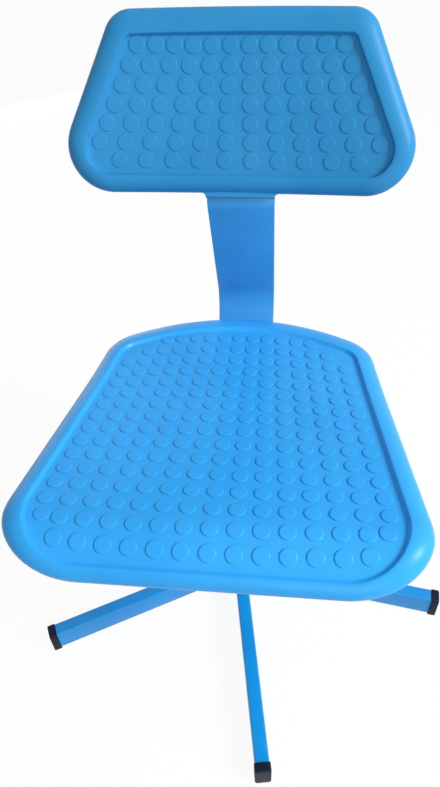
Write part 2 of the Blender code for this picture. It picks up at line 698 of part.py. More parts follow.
def back_bar():
    """The flat bar: its front face's path, thickened, extruded across and drilled for its bolts and screws."""
    path = bar_path()
    behind = []
    for index, point in enumerate(path):
        along = path[min(index + 1, len(path) - 1)] - path[max(index - 1, 0)]
        along.normalize()
        behind.append(point + Vector((along.y, -along.x)) * BAR_THICKNESS)
    strip = prism([tuple(point) for point in path + behind[::-1]], BAR_WIDTH)
    across = Matrix(((0, 0, 1, -BAR_WIDTH / 2), (1, 0, 0, 0), (0, 1, 0, 0), (0, 0, 0, 1)))
    strip = moved(strip, across)
    for vert in strip.verts:
        vert.co.x += BAR_SHIFT + math.tan(BAR_LEAN) * (vert.co.z - BAR_LEVEL)
    side_edges = [edge for edge in strip.edges if abs(edge.verts[0].co.x - edge.verts[1].co.x) < GAP]
    bmesh.ops.bevel(strip, geom=side_edges, offset=BAR_EDGE, segments=1, affect="EDGES")
    for u, s in bar_bolt_places():
        strip = combined(strip, shifted(rod(SCREW_RADIUS + GAP, 2 * BAR_LEVEL, 0.0), u, s, 0.0), "DIFFERENCE")
    for u, t in back_screw_places():
        hole = shifted(rod(SCREW_RADIUS + GAP, 3 * BACK_BAR_LEVEL, 0.0), u, t, 0.0)
        strip = combined(strip, moved(hole, back_matrix()), "DIFFERENCE")
    return strip


def bar_bolt_places():
    """The plan of the two bolts that clamp the bar to the plate."""
    return [(BAR_SHIFT + side * BAR_BOLT_HALF_SPACING, BAR_BOLT_PLACE) for side in (-1, 1)]


def back_matrix():
    """The backrest's frame within the seat's frame. It leans sideways with the bar that carries it."""
    up, forward = back_direction()
    s, h = BACK_EDGE_PLACE
    u = BAR_SHIFT + math.tan(BAR_LEAN) * (h - BAR_LEVEL)
    upright = Matrix(((1, 0, 0, u), (0, up.x, forward.x, s), (0, up.y, forward.y, h), (0, 0, 0, 1)))
    return upright @ Matrix.Rotation(-math.atan(math.tan(BAR_LEAN) * up.y), 4, "Z")


def mounting_plate():
    """The steel plate under the seat, with holes for the column's socket, the seat's screws and the bar's bolts."""
    half_depth = (PLATE_REAR - PLATE_FRONT) / 2
    plate = prism(rounded_rectangle(PLATE_HALF_WIDTH, half_depth, PLATE_CORNER, 4), PLATE_THICKNESS)
    plate = shifted(plate, 0.0, (PLATE_FRONT + PLATE_REAR) / 2, PLATE_BOTTOM)
    for u, s in seat_screw_places() + bar_bolt_places():
        hole = shifted(rod(SCREW_RADIUS + GAP, 2 * PLATE_BOTTOM, 0.0), u, s, 0.0)
        plate = combined(plate, hole, "DIFFERENCE")
    passage = rod(TUBE_RADIUS + SOCKET_WALL + 2 * GAP, 2 * PLATE_BOTTOM, 0.0, ROUND_STEPS)
    passage = moved(passage, Matrix.Rotation(SEAT_TILT, 4, "X"))
    return combined(plate, passage, "DIFFERENCE")


def socket_screw(bite):
    """A screw that points up, with its head below z = 0 and a hexagon socket in the head."""
    screw = turned([(0.0, -SCREW_HEAD_HEIGHT), (SCREW_HEAD_RADIUS, -SCREW_HEAD_HEIGHT), (SCREW_HEAD_RADIUS, 0.0),
                    (SCREW_RADIUS, 0.0), (SCREW_RADIUS, bite), (0.0, bite)], SMALL_STEPS)
    key = rod(SCREW_SOCKET, -2 * SCREW_HEAD_HEIGHT, -SCREW_HEAD_HEIGHT / 2, 6)
    return combined(screw, key, "DIFFERENCE")


def hexagon_nut():
    """A nut that stands on z = 0."""
    return combined(rod(NUT_RADIUS, 0.0, NUT_HEIGHT, 6), rod(SCREW_RADIUS + GAP, -NUT_HEIGHT, 2 * NUT_HEIGHT),
                    "DIFFERENCE")


def swept(points, radius, steps=8):
    """A round bar along a path of (u, h) points in the plane s = 0."""
    shape = bmesh.new()
    rings = []
    for index, (u, h) in enumerate(points):
        ahead = Vector(points[min(index + 1, len(points) - 1)])
        behind = Vector(points[max(index - 1, 0)])
        along = (ahead - behind).normalized()
        ring_points = []
        for step in range(steps):
            angle = math.tau * step / steps
            lift = radius * math.cos(angle)
            ring_points.append(shape.verts.new((u - along.y * lift, radius * math.sin(angle), h + along.x * lift)))
        rings.append(ring_points)
    for first, second in zip(rings, rings[1:]):
        for index in range(steps):
            after = (index + 1) % steps
            shape.faces.new((first[index], second[index], second[after], first[after]))
    shape.faces.new(rings[0])
    shape.faces.new(rings[-1])
    bmesh.ops.recalc_face_normals(shape, faces=shape.faces[:])
    return shape


def across_rod(radius, half_length, u, h, steps=SMALL_STEPS):
    """A cylinder that lies along the seat's s direction."""
    lying = moved(rod(radius, -half_length, half_length, steps), Matrix.Rotation(math.pi / 2, 4, "X"))
    return shifted(lying, u, 0.0, h)


def lever_path():
    """The lever's middle line, about its own pivot: level over the button, then a soft dip to the grip's level."""
    start = -LEVER_PIVOT - BUTTON_RADIUS
    dip = [(LEVER_DIP_START - LEVER_PIVOT, 0.0)]
    for step in range(1, 6):
        share = step / 6
        fall = (1.0 - math.cos(math.pi * share)) / 2
        dip.append((LEVER_DIP_START - LEVER_PIVOT + (LEVER_DIP_END - LEVER_DIP_START) * share, -LEVER_DIP * fall))
    dip.append((LEVER_DIP_END - LEVER_PIVOT, -LEVER_DIP))
    return [(start, 0.0)] + dip + [(LEVER_END - LEVER_PIVOT, -LEVER_DIP)]


def release_lever():
    """The lever that presses the column's button, with an eye at its pivot, which is its origin."""
    lever = swept(lever_path(), LEVER_RADIUS)
    lever = combined(lever, across_rod(LEVER_EYE, LEVER_EYE_WIDTH / 2, 0.0, 0.0), "UNION")
    return combined(lever, across_rod(LEVER_PIN_RADIUS + GAP, LEVER_EYE_WIDTH, 0.0, 0.0), "DIFFERENCE")


def lever_grip():
    """The plastic grip on the lever's outer end, in the lever's frame."""
    inner = LEVER_RADIUS + GAP
    end = GRIP_LENGTH / 8
    grip = turned([(inner, 0.0), (GRIP_RADIUS * 0.8, 0.0), (GRIP_RADIUS, end), (GRIP_RADIUS, GRIP_LENGTH - end),
                   (GRIP_RADIUS * 0.7, GRIP_LENGTH), (0.0, GRIP_LENGTH), (0.0, GRIP_LENGTH - end / 2),
                   (inner, GRIP_LENGTH - end / 2)], 16)
    grip = moved(grip, Matrix.Rotation(math.pi / 2, 4, "Y"))
    start = LEVER_END - LEVER_PIVOT + end / 2 + GAP - GRIP_LENGTH
    return shifted(grip, start, 0.0, -LEVER_DIP)


def lever_bracket():
    """The folded bracket on the plate: a foot and two ears with a hole for the pin."""
    gap = LEVER_EYE_WIDTH / 2 + BRACKET_CLEARANCE
    out = gap + BRACKET_THICKNESS
    low = PLATE_TOP + GAP
    high = LEVER_LEVEL + LEVER_EYE
    half = BRACKET_LENGTH / 2
    bracket = block((LEVER_PIVOT - half, -out, low), (LEVER_PIVOT + half, out, high))
    slot = block((LEVER_PIVOT - BRACKET_LENGTH, -gap, low + BRACKET_THICKNESS),
                 (LEVER_PIVOT + BRACKET_LENGTH, gap, high + BRACKET_LENGTH))
    bracket = combined(bracket, slot, "DIFFERENCE")
    return combined(bracket, across_rod(LEVER_PIN_RADIUS + GAP, 2 * out, LEVER_PIVOT, LEVER_LEVEL), "DIFFERENCE")


def build_base(chair, paint, plastic):
    """Builds what stands still: hub, legs, end caps, stand tube and bush."""
    place("hub", ring(STAND_RADIUS + GAP, HUB_RADIUS, HUB_BOTTOM, HUB_TOP), paint, chair)
    for number in range(1, LEG_COUNT + 1):
        turn = (0.0, 0.0, LEG_FIRST_ANGLE + math.tau * (number - 1) / LEG_COUNT)
        place(f"leg_{number}", leg(), paint, chair, rotation=turn)
        place(f"end_cap_{number}", end_cap(), plastic, chair, rotation=turn)
    place("stand_tube", stand_tube(), paint, chair)
    place("guide_bush", guide_bush(), plastic, chair)


def build_rod(chair, steel):
    """Builds what turns but stays at its height: the piston rod, its washer and its clip."""
    place("piston_rod", piston_rod(), steel, chair)
    floor = HUB_BOTTOM + STAND_FLOOR + GAP
    place("thrust_washer", ring(ROD_RADIUS + GAP, ROD_COLLAR, floor, floor + WASHER_THICKNESS), steel, chair)
    under = HUB_BOTTOM - GAP
    place("retaining_clip", ring(ROD_RADIUS + GAP, CLIP_RADIUS, under - CLIP_THICKNESS, under), steel, chair)


def build_seat(chair, paint, plastic, steel, seat_plastic, back_plastic):
    """Builds what turns and rises: tube, socket, plate, seat, bar, backrest and their screws."""
    place("pressure_tube", pressure_tube(), steel, chair)
    socket_top = SEAT_HEIGHT + PLATE_TOP
    socket = ring(TUBE_RADIUS + GAP, TUBE_RADIUS + SOCKET_WALL, socket_top - SOCKET_LENGTH, socket_top)
    place("column_socket", socket, paint, chair)
    frame = empty("seat_frame", (0.0, 0.0, SEAT_HEIGHT), (-SEAT_TILT, 0.0, 0.0), chair)
    place("mounting_plate", mounting_plate(), paint, frame)
    place("seat_shell", seat_shell(), seat_plastic, frame)
    for number, (u, s) in enumerate(seat_screw_places(), 1):
        bite = PLATE_THICKNESS + 2 * GAP + SCREW_BITE
        place(f"seat_screw_{number}", socket_screw(bite), steel, frame, (u, s, PLATE_BOTTOM - GAP))
    place("back_bar", back_bar(), paint, frame)
    for number, (u, s) in enumerate(bar_bolt_places(), 1):
        head = BAR_LEVEL - BAR_THICKNESS - GAP
        nut = PLATE_TOP + GAP
        place(f"bar_bolt_{number}", socket_screw(nut + NUT_HEIGHT + BOLT_PROUD - head), steel, frame, (u, s, head))
        place(f"bar_nut_{number}", hexagon_nut(), steel, frame, (u, s, nut))
    back = empty("back_frame", back_matrix().translation, back_matrix().to_euler(), frame)
    place("backrest_shell", backrest_shell(), back_plastic, back)
    for number, (u, t) in enumerate(back_screw_places(), 1):
        head = BACK_BAR_LEVEL - BAR_THICKNESS - GAP
        bite = -BACK_PANEL / 2 - 2 * GAP - head
        place(f"back_screw_{number}", socket_screw(bite), steel, back, (u, t, head))
    place("lever_bracket", lever_bracket(), paint, frame)
    half = LEVER_EYE_WIDTH / 2 + BRACKET_CLEARANCE + BRACKET_THICKNESS
    place("lever_pin", across_rod(LEVER_PIN_RADIUS, half, LEVER_PIVOT, LEVER_LEVEL), steel, frame)
    pivot = empty("lever_frame", (LEVER_PIVOT, 0.0, LEVER_LEVEL), (0.0, 0.0, 0.0), frame)
    place("release_lever", release_lever(), steel, pivot)
    place("lever_grip", lever_grip(), plastic, pivot)
    button_top = TUBE_TOP + BUTTON_PROUD
    place("release_button", rod(BUTTON_RADIUS, button_top - BUTTON_LENGTH, button_top), steel, chair)


def main():
    """Builds the chair."""
    clear_scene()
    paint = material("blue paint on steel", BLUE_PAINT, 0.35, 0.0)
    plastic = material("black plastic", NEAR_BLACK, 0.50, 0.0)
    steel = material("bright steel", STEEL, 0.30, 1.0)
    seat_plastic = material("blue moulded seat plastic", BLUE_SEAT, 0.40, 0.0)
    back_plastic = material("blue moulded back plastic", BLUE_BACK, 0.45, 0.0)
    chair = empty("chair", HUB_PLACE, (0.0, 0.0, 0.0))
    build_base(chair, paint, plastic)
    build_rod(chair, steel)
    build_seat(chair, paint, plastic, steel, seat_plastic, back_plastic)


main()
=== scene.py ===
"""Looks for the swivel desk chair: moulded seat and backrest, flat-steel back bar, star base, light and camera.

Sizes are in metres and +Z is up. The floor is z = 0, the sitter faces -Y and the swivel axis stands at HUB_PLACE.
The seat and the backrest are worked out flat, as (u, s, h): across, along and above the panel, and are then bent.
"""

from __future__ import annotations

import json
import logging
import math
from abc import ABC, abstractmethod
from dataclasses import dataclass
from enum import Enum
from typing import Iterable, Sequence

import bmesh
import bpy
import numpy as np
from mathutils import Matrix, Vector

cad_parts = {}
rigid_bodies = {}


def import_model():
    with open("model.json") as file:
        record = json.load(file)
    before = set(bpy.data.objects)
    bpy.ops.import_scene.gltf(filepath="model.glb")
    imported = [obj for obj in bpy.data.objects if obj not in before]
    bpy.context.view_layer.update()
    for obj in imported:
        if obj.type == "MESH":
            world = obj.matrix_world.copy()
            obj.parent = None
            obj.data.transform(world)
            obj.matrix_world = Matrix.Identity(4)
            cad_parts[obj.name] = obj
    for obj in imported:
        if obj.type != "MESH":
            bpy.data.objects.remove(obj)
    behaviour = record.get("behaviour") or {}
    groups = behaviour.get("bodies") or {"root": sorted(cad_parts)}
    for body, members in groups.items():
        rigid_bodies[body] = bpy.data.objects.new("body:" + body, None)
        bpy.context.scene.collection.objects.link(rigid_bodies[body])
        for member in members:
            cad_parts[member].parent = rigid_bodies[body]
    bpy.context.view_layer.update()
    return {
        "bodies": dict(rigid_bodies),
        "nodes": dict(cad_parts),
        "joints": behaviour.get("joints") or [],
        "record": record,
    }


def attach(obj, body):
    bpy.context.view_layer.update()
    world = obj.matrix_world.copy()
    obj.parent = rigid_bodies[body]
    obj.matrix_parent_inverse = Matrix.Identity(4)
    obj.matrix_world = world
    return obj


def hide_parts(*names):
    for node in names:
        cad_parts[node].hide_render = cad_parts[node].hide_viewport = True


LOG = logging.getLogger("swivel_desk_chair")

HUB_PLACE = (-0.0164, 0.0126, 0.0)
GAP = 0.0003
SEAT_HEIGHT = 0.4457
SEAT_TILT = math.radians(6.17)
PLATE_TOP = -0.0303
MERGE_DISTANCE = 1e-6
SHARP_ANGLE = math.radians(38.0)
EDGE_STEPS = 24
NOTCH_STEPS = 7
RIB_STEPS = 24
RIB_CORNER = 0.0004


class Body(Enum):
    """The rigid bodies that carry new pieces."""

    BASE = "base"
    SEAT = "seat"


class Slot(Enum):
    """The record's material slots."""

    PAINT = "blue_paint"
    BLACK = "black_plastic"
    STEEL = "bright_steel"
    SEAT = "seat_plastic"
    BACK = "back_plastic"


class Graph:
    """A material's node graph, with short calls for adding and joining nodes."""

    def __init__(self, name: str) -> None:
        """Makes an empty material with a Principled shader.

        Args:
            name: the material's name.
        """
        self.material = bpy.data.materials.new(name)
        self.material.use_nodes = True
        self.tree = self.material.node_tree
        self.shader = self.tree.nodes["Principled BSDF"]

    def node(self, kind: str, inputs: dict[str, object] | None = None, **settings: object) -> bpy.types.Node:
        """Adds a node.

        Args:
            kind: the node's type name.
            inputs: values or sockets by input name.
            settings: attributes of the node.

        Returns:
            The new node.
        """
        made = self.tree.nodes.new(kind)
        for key, value in settings.items():
            setattr(made, key, value)
        for key, value in (inputs or {}).items():
            self.feed(made.inputs[key], value)
        return made

    def feed(self, socket: bpy.types.NodeSocket, value: object) -> None:
        """Gives a socket a value, or links another socket to it."""
        if isinstance(value, bpy.types.NodeSocket):
            self.tree.links.new(value, socket)
        else:
            socket.default_value = value

    def noise(self, scale: float, detail: float = 2.0, stretch: Sequence[float] = (1.0, 1.0, 1.0),
              roughness: float = 0.5) -> bpy.types.NodeSocket:
        """A noise pattern on the object coordinates, which are in metres.

        Args:
            scale: cells per metre.
            detail: the number of finer octaves.
            stretch: scale along each axis.
            roughness: the strength of the finer octaves.

        Returns:
            The pattern's value socket, about 0.5 on average.
        """
        coordinates = self.node("ShaderNodeTexCoord").outputs["Object"]
        mapping = self.node("ShaderNodeMapping", {"Vector": coordinates, "Scale": tuple(stretch)})
        noise = self.node("ShaderNodeTexNoise", {"Vector": mapping.outputs["Vector"], "Scale": scale,
                                                 "Detail": detail, "Roughness": roughness})
        return noise.outputs["Fac"]

    def ramp(self, value: bpy.types.NodeSocket, low: float, high: float, start: float = 0.0,
             end: float = 1.0) -> bpy.types.NodeSocket:
        """Maps a socket's value so that low gives start and high gives end, and clamps it."""
        inputs = {"Value": value, "From Min": low, "From Max": high, "To Min": start, "To Max": end}
        return self.node("ShaderNodeMapRange", inputs).outputs["Result"]

    def blend(self, factor: bpy.types.NodeSocket, first: object, second: object) -> bpy.types.NodeSocket:
        """Mixes two colours: the first where the factor is 0, and the second where it is 1."""
        inputs = {"Factor": factor, "A": first, "B": second}
        return self.node("ShaderNodeMix", inputs, data_type="RGBA").outputs["Result"]

    def bump(self, height: bpy.types.NodeSocket, distance: float, strength: float,
             under: bpy.types.NodeSocket | None = None) -> bpy.types.NodeSocket:
        """Turns a height pattern into a surface direction, on top of another one if that is given."""
        inputs = {"Height": height, "Distance": distance, "Strength": strength}
        return self.node("ShaderNodeBump", inputs | ({"Normal": under} if under else {})).outputs["Normal"]

    def shade(self, values: dict[str, object]) -> None:
        """Feeds the shader's inputs, each with a value or a socket."""
        for key, value in values.items():
            self.feed(self.shader.inputs[key], value)


def opaque(color: Sequence[float]) -> tuple[float, float, float, float]:
    """A colour with full alpha."""
    return (color[0], color[1], color[2], 1.0)


@dataclass(frozen=True)
class Finish(ABC):
    """A surface finish that makes its own material. Cells are counted per metre."""

    name: str
    slot: Slot

    @abstractmethod
    def dress(self, graph: Graph) -> None:
        """Sets the shader up in an empty material."""

    def material(self) -> bpy.types.Material:
        """Makes the material, or returns the one made before."""
        found = bpy.data.materials.get(self.name)
        if found is not None:
            return found
        graph = Graph(self.name)
        self.dress(graph)
        return graph.material


@dataclass(frozen=True)
class MouldedPlastic(Finish):
    """Injection-moulded plastic with a fine grain, faint flow marks and slightly polished patches."""

    color: tuple[float, float, float]
    deep: tuple[float, float, float]
    roughness: float
    coat: float = 0.07
    coat_roughness: float = 0.26
    specular: float = 0.14
    flow_cells: float = 9.0
    speck_cells: float = 210.0
    speck_share: float = 0.10
    patch_cells: float = 32.0
    wave_cells: float = 55.0
    wave_height: float = 0.0004
    grain_cells: float = 1400.0
    grain_height: float = 0.00002

    def dress(self, graph: Graph) -> None:
        """Sets the shader up in an empty material.

        Args:
            graph: the material's graph.
        """
        flow = graph.ramp(graph.noise(self.flow_cells, 3.0, (1.0, 0.6, 1.0)), 0.35, 0.65)
        tint = graph.blend(flow, opaque(self.deep), opaque(self.color))
        speck = graph.ramp(graph.noise(self.speck_cells), 0.40, 0.60, 0.0, self.speck_share)
        patches = graph.noise(self.patch_cells, 4.0)
        gloss = graph.ramp(patches, 0.3, 0.7, self.roughness - 0.05, self.roughness + 0.06)
        waves = graph.bump(graph.noise(self.wave_cells, 1.0), self.wave_height, 0.10)
        grain = graph.bump(graph.noise(self.grain_cells, 1.0), self.grain_height, 0.6, waves)
        specked = graph.blend(speck, tint, opaque(self.deep))
        graph.shade({"Base Color": specked, "Roughness": gloss, "Normal": grain, "Coat Weight": self.coat,
                     "Coat Roughness": self.coat_roughness, "Specular IOR Level": self.specular})


@dataclass(frozen=True)
class SprayedPaint(Finish):
    """Semi-gloss paint on steel, with orange peel and a slightly uneven coat."""

    color: tuple[float, float, float]
    thin: tuple[float, float, float]
    roughness: float = 0.32
    coat: float = 0.12
    coat_roughness: float = 0.12
    specular: float = 0.3
    thin_cells: float = 14.0
    patch_cells: float = 45.0
    peel_cells: float = 420.0
    peel_height: float = 0.00004

    def dress(self, graph: Graph) -> None:
        """Sets the shader up in an empty material.

        Args:
            graph: the material's graph.
        """
        cover = graph.ramp(graph.noise(self.thin_cells, 4.0), 0.35, 0.65)
        patches = graph.noise(self.patch_cells, 3.0)
        gloss = graph.ramp(patches, 0.3, 0.7, self.roughness - 0.05, self.roughness + 0.08)
        peel = graph.bump(graph.noise(self.peel_cells, 1.0), self.peel_height, 0.35)
        tint = graph.blend(cover, opaque(self.thin), opaque(self.color))
        graph.shade({"Base Color": tint, "Roughness": gloss, "Normal": peel, "Coat Weight": self.coat,
                     "Coat Roughness": self.coat_roughness, "Specular IOR Level": self.specular})


@dataclass(frozen=True)
class DarkPlastic(Finish):
    """Black plastic with a coarse matte grain and paler scuffs."""

    color: tuple[float, float, float]
    scuff: tuple[float, float, float]
    roughness: float = 0.5
    specular: float = 0.15
    scuff_cells: float = 130.0
    grain_cells: float = 900.0
    grain_height: float = 0.00005

    def dress(self, graph: Graph) -> None:
        """Sets the shader up in an empty material.

        Args:
            graph: the material's graph.
        """
        scuffs = graph.ramp(graph.noise(self.scuff_cells, 5.0, (1.0, 1.0, 2.5), 0.7), 0.58, 0.74)
        gloss = graph.ramp(scuffs, 0.0, 1.0, self.roughness, self.roughness + 0.2)
        grain = graph.bump(graph.noise(self.grain_cells, 1.0), self.grain_height, 0.5)
        tint = graph.blend(scuffs, opaque(self.color), opaque(self.scuff))
        graph.shade({"Base Color": tint, "Roughness": gloss, "Normal": grain,
                     "Specular IOR Level": self.specular})


@dataclass(frozen=True)
class BrightSteel(Finish):
    """Plated steel with fine turning marks round an upright axis."""

    color: tuple[float, float, float]
    roughness: float = 0.24
    dull_share: float = 0.8
    dull_cells: float = 70.0
    mark_cells: float = 60.0
    mark_height: float = 0.00002

    def dress(self, graph: Graph) -> None:
        """Sets the shader up in an empty material.

        Args:
            graph: the material's graph.
        """
        dull = graph.ramp(graph.noise(self.dull_cells, 4.0), 0.3, 0.7)
        darker = tuple(self.dull_share * value for value in self.color)
        marks = graph.noise(self.mark_cells, 3.0, (0.3, 0.3, 40.0))
        gloss = graph.ramp(marks, 0.3, 0.7, self.roughness - 0.06, self.roughness + 0.10)
        tint = graph.blend(dull, opaque(self.color), opaque(darker))
        graph.shade({"Base Color": tint, "Roughness": gloss, "Metallic": 1.0,
                     "Normal": graph.bump(marks, self.mark_height, 0.3)})


SEAT_PLASTIC = MouldedPlastic("azure moulded seat plastic", Slot.SEAT, (0.037, 0.388, 0.870),
                              (0.029, 0.348, 0.815), 0.34)
BACK_PLASTIC = MouldedPlastic("mid blue moulded back plastic", Slot.BACK, (0.028, 0.250, 0.520),
                              (0.022, 0.226, 0.490), 0.46, coat=0.06)
BLUE_PAINT = SprayedPaint("cobalt blue paint", Slot.PAINT, (0.006, 0.290, 0.720), (0.005, 0.255, 0.660))
# The back bar wears the same blue paint as the legs; its paler colour here is painted light that makes the bar
# look better lit.
BAR_PAINT_PALED_AS_PAINTED_LIGHT = SprayedPaint("blue paint on the back bar, paled as painted light", Slot.PAINT, (0.062, 0.365, 0.760), (0.054, 0.335, 0.720))
CAP_PLASTIC = DarkPlastic("near black cap plastic", Slot.BLACK, (0.003, 0.008, 0.022), (0.012, 0.020, 0.038))
PLATED_STEEL = BrightSteel("plated steel", Slot.STEEL, (0.60, 0.61, 0.63))


class Skin:
    """Gathers grids of points, moves them by a matrix and makes one mesh of them."""

    def __init__(self, matrix: Matrix) -> None:
        """Starts with no points and no faces.

        Args:
            matrix: the frame that the points are given in.
        """
        self.matrix = np.array(matrix)
        self.points: list[np.ndarray] = []
        self.faces: list[np.ndarray] = []
        self.count = 0

    def grid(self, points: np.ndarray, closed: bool = False) -> "Skin":
        """Adds a grid of quads, or a stack of grids.

        Args:
            points: an array of (rows, columns, 3), or (grids, rows, columns, 3) for a stack.
            closed: whether the last column joins the first.

        Returns:
            This skin.
        """
        rows, columns = points.shape[-3:-1]
        index = np.arange(rows * columns).reshape(rows, columns)
        if closed:
            index = np.concatenate((index, index[:, :1]), axis=1)
        quads = np.stack((index[:-1, :-1], index[:-1, 1:], index[1:, 1:], index[1:, :-1]), axis=-1).reshape(-1, 4)
        stack = points.reshape(-1, rows * columns, 3)
        starts = self.count + rows * columns * np.arange(len(stack))
        self.points.append(stack.reshape(-1, 3) @ self.matrix[:3, :3].T + self.matrix[:3, 3])
        self.faces.append((quads[None] + starts[:, None, None]).reshape(-1, 4))
        self.count += stack.shape[0] * stack.shape[1]
        return self

    def solid(self, rings: np.ndarray) -> "Skin":
        """Adds closed rings of points, with each end drawn together to its middle.

        Args:
            rings: an array of (rows, columns, 3), or a stack of them.

        Returns:
            This skin.
        """
        middle = np.broadcast_to(rings.mean(axis=-2, keepdims=True), rings.shape)
        ends = (middle[..., :1, :, :], rings, middle[..., -1:, :, :])
        return self.grid(np.concatenate(ends, axis=-3), closed=True)

    def build(self, name: str, finish: Finish, body: Body, replaces: Iterable[str] = ()) -> None:
        """Makes the object, merges its doubles, turns its faces outwards and hands it to the frame.

        Args:
            name: the piece's name.
            finish: its finish.
            body: the body that it moves with.
            replaces: the CAD nodes that it stands for.
        """
        mesh = bpy.data.meshes.new(name)
        mesh.from_pydata(np.concatenate(self.points).tolist(), [], np.concatenate(self.faces).tolist())
        shape = bmesh.new()
        shape.from_mesh(mesh)
        bmesh.ops.remove_doubles(shape, verts=shape.verts[:], dist=MERGE_DISTANCE)
        bmesh.ops.recalc_face_normals(shape, faces=shape.faces[:])
        shape.to_mesh(mesh)
        shape.free()
        mesh.shade_smooth()
        mesh.set_sharp_from_angle(angle=SHARP_ANGLE)
        mesh.materials.append(finish.material())
        piece = bpy.data.objects.new(name, mesh)
        bpy.context.scene.collection.objects.link(piece)
        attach(piece, body.value)
        for node in replaces:
            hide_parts(node)
        LOG.info("%s: %d faces", name, len(mesh.polygons))


def arc(center: Sequence[float], radius: float, start: float, end: float, steps: int) -> np.ndarray:
    """Steps + 1 points on an arc: the centre plus the radius times each angle's cosine and sine."""
    angles = np.linspace(start, end, steps + 1)
    return np.asarray(center) + radius * np.stack((np.cos(angles), np.sin(angles)), axis=-1)


def rounded_section(half_width: float, half_height: float, radius: float, steps: int = 5) -> np.ndarray:
    """The outline of a rectangle with round corners: four quarter circles joined by straight sides.

    Args:
        half_width: half its size along the first axis.
        half_height: half its size along the second.
        radius: the corners' radius.
        steps: the steps in each corner.

    Returns:
        An array of (4 * (steps + 1), 2).
    """
    corners = []
    for quarter, (sign_x, sign_y) in enumerate(((1, 1), (-1, 1), (-1, -1), (1, -1))):
        center = (sign_x * (half_width - radius), sign_y * (half_height - radius))
        corners.append(arc(center, radius, math.pi / 2 * quarter, math.pi / 2 * (quarter + 1), steps))
    return np.concatenate(corners)


@dataclass(frozen=True)
class Outline:
    """The plan of a moulded shell: straight front, tapered sides, shallow rear arc and round corners.

    Where the front edge has a notch, two neighbouring points stand at its end, so that the shell can step there.
    """

    front: float
    rear: float
    half_width: float
    taper: float
    front_corner: float
    rear_corner: float
    rear_radius: float
    notch: float = 0.0

    def half(self) -> np.ndarray:
        """The right half of the plan, from the front's middle to the rear's middle.

        Each arc's centre is where its neighbours, moved inwards by the arc's radius, meet. The rear corner's
        centre is on the side moved inwards and on a circle about the rear arc's centre, which a quadratic gives.

        Returns:
            An array of (points, 2), with the same number of points for every outline.
        """
        stretch = math.hypot(1.0, self.taper)
        turn = math.atan(self.taper)
        front_s = self.front + self.front_corner
        front_center = (self.half_width - self.taper * front_s - self.front_corner * stretch, front_s)
        offset = self.half_width - self.rear_corner * stretch
        rear_middle = self.rear - self.rear_radius
        reach = self.rear_radius - self.rear_corner
        half = offset * self.taper + rear_middle
        rest = offset ** 2 + rear_middle ** 2 - reach ** 2
        rear_s = (half + math.sqrt(half ** 2 - stretch ** 2 * rest)) / stretch ** 2
        rear_center = (offset - self.taper * rear_s, rear_s)
        rear_turn = math.atan2(rear_s - rear_middle, rear_center[0])
        first = arc(front_center, self.front_corner, -math.pi / 2, turn, 28)
        last = arc(rear_center, self.rear_corner, turn, rear_turn, 20)
        straight = first[-1] + (last[0] - first[-1]) * np.linspace(0.0, 1.0, 61)[1:-1, None]
        across = np.linspace(0.0, first[0, 0], EDGE_STEPS + 1)[:-1]
        if self.notch > 0.0:
            beyond = np.linspace(self.notch + GAP, first[0, 0], EDGE_STEPS - NOTCH_STEPS + 1)[:-1]
            across = np.concatenate((np.linspace(0.0, self.notch, NOTCH_STEPS), beyond))
        edge = np.stack((across, np.full(across.shape, self.front)), axis=-1)
        rear = arc((0.0, rear_middle), self.rear_radius, rear_turn, math.pi / 2, 24)[1:]
        rear[-1, 0] = 0.0
        return np.concatenate((edge, first, straight, last, rear))


@dataclass(frozen=True)
class DiscPattern:
    """Round raised discs, given by their middles on the flat panel."""

    radius: float
    height: float
    edge: float
    steps: int = 12

    def rings(self, middles: np.ndarray) -> np.ndarray:
        """The discs as stacks of rings: a foot under the panel, a steep wall, a soft edge and a nearly flat top.

        Args:
            middles: an array of (discs, 2).

        Returns:
            An array of (discs, rings, steps, 3) in flat (u, s, h).
        """
        radii = self.radius + self.edge * np.array((0.3, 0.0, -0.8, -2.4, -self.radius / self.edge))
        heights = self.height * np.array((-0.6, 0.72, 1.0, 1.04, 1.05))
        angles = np.linspace(0.0, math.tau, self.steps, endpoint=False)
        u = radii[:, None] * np.cos(angles)
        s = radii[:, None] * np.sin(angles)
        ring = np.stack((u, s, np.broadcast_to(heights[:, None], u.shape)), axis=-1)
        centers = np.column_stack((middles, np.zeros(len(middles))))
        return ring + centers[:, None, None]


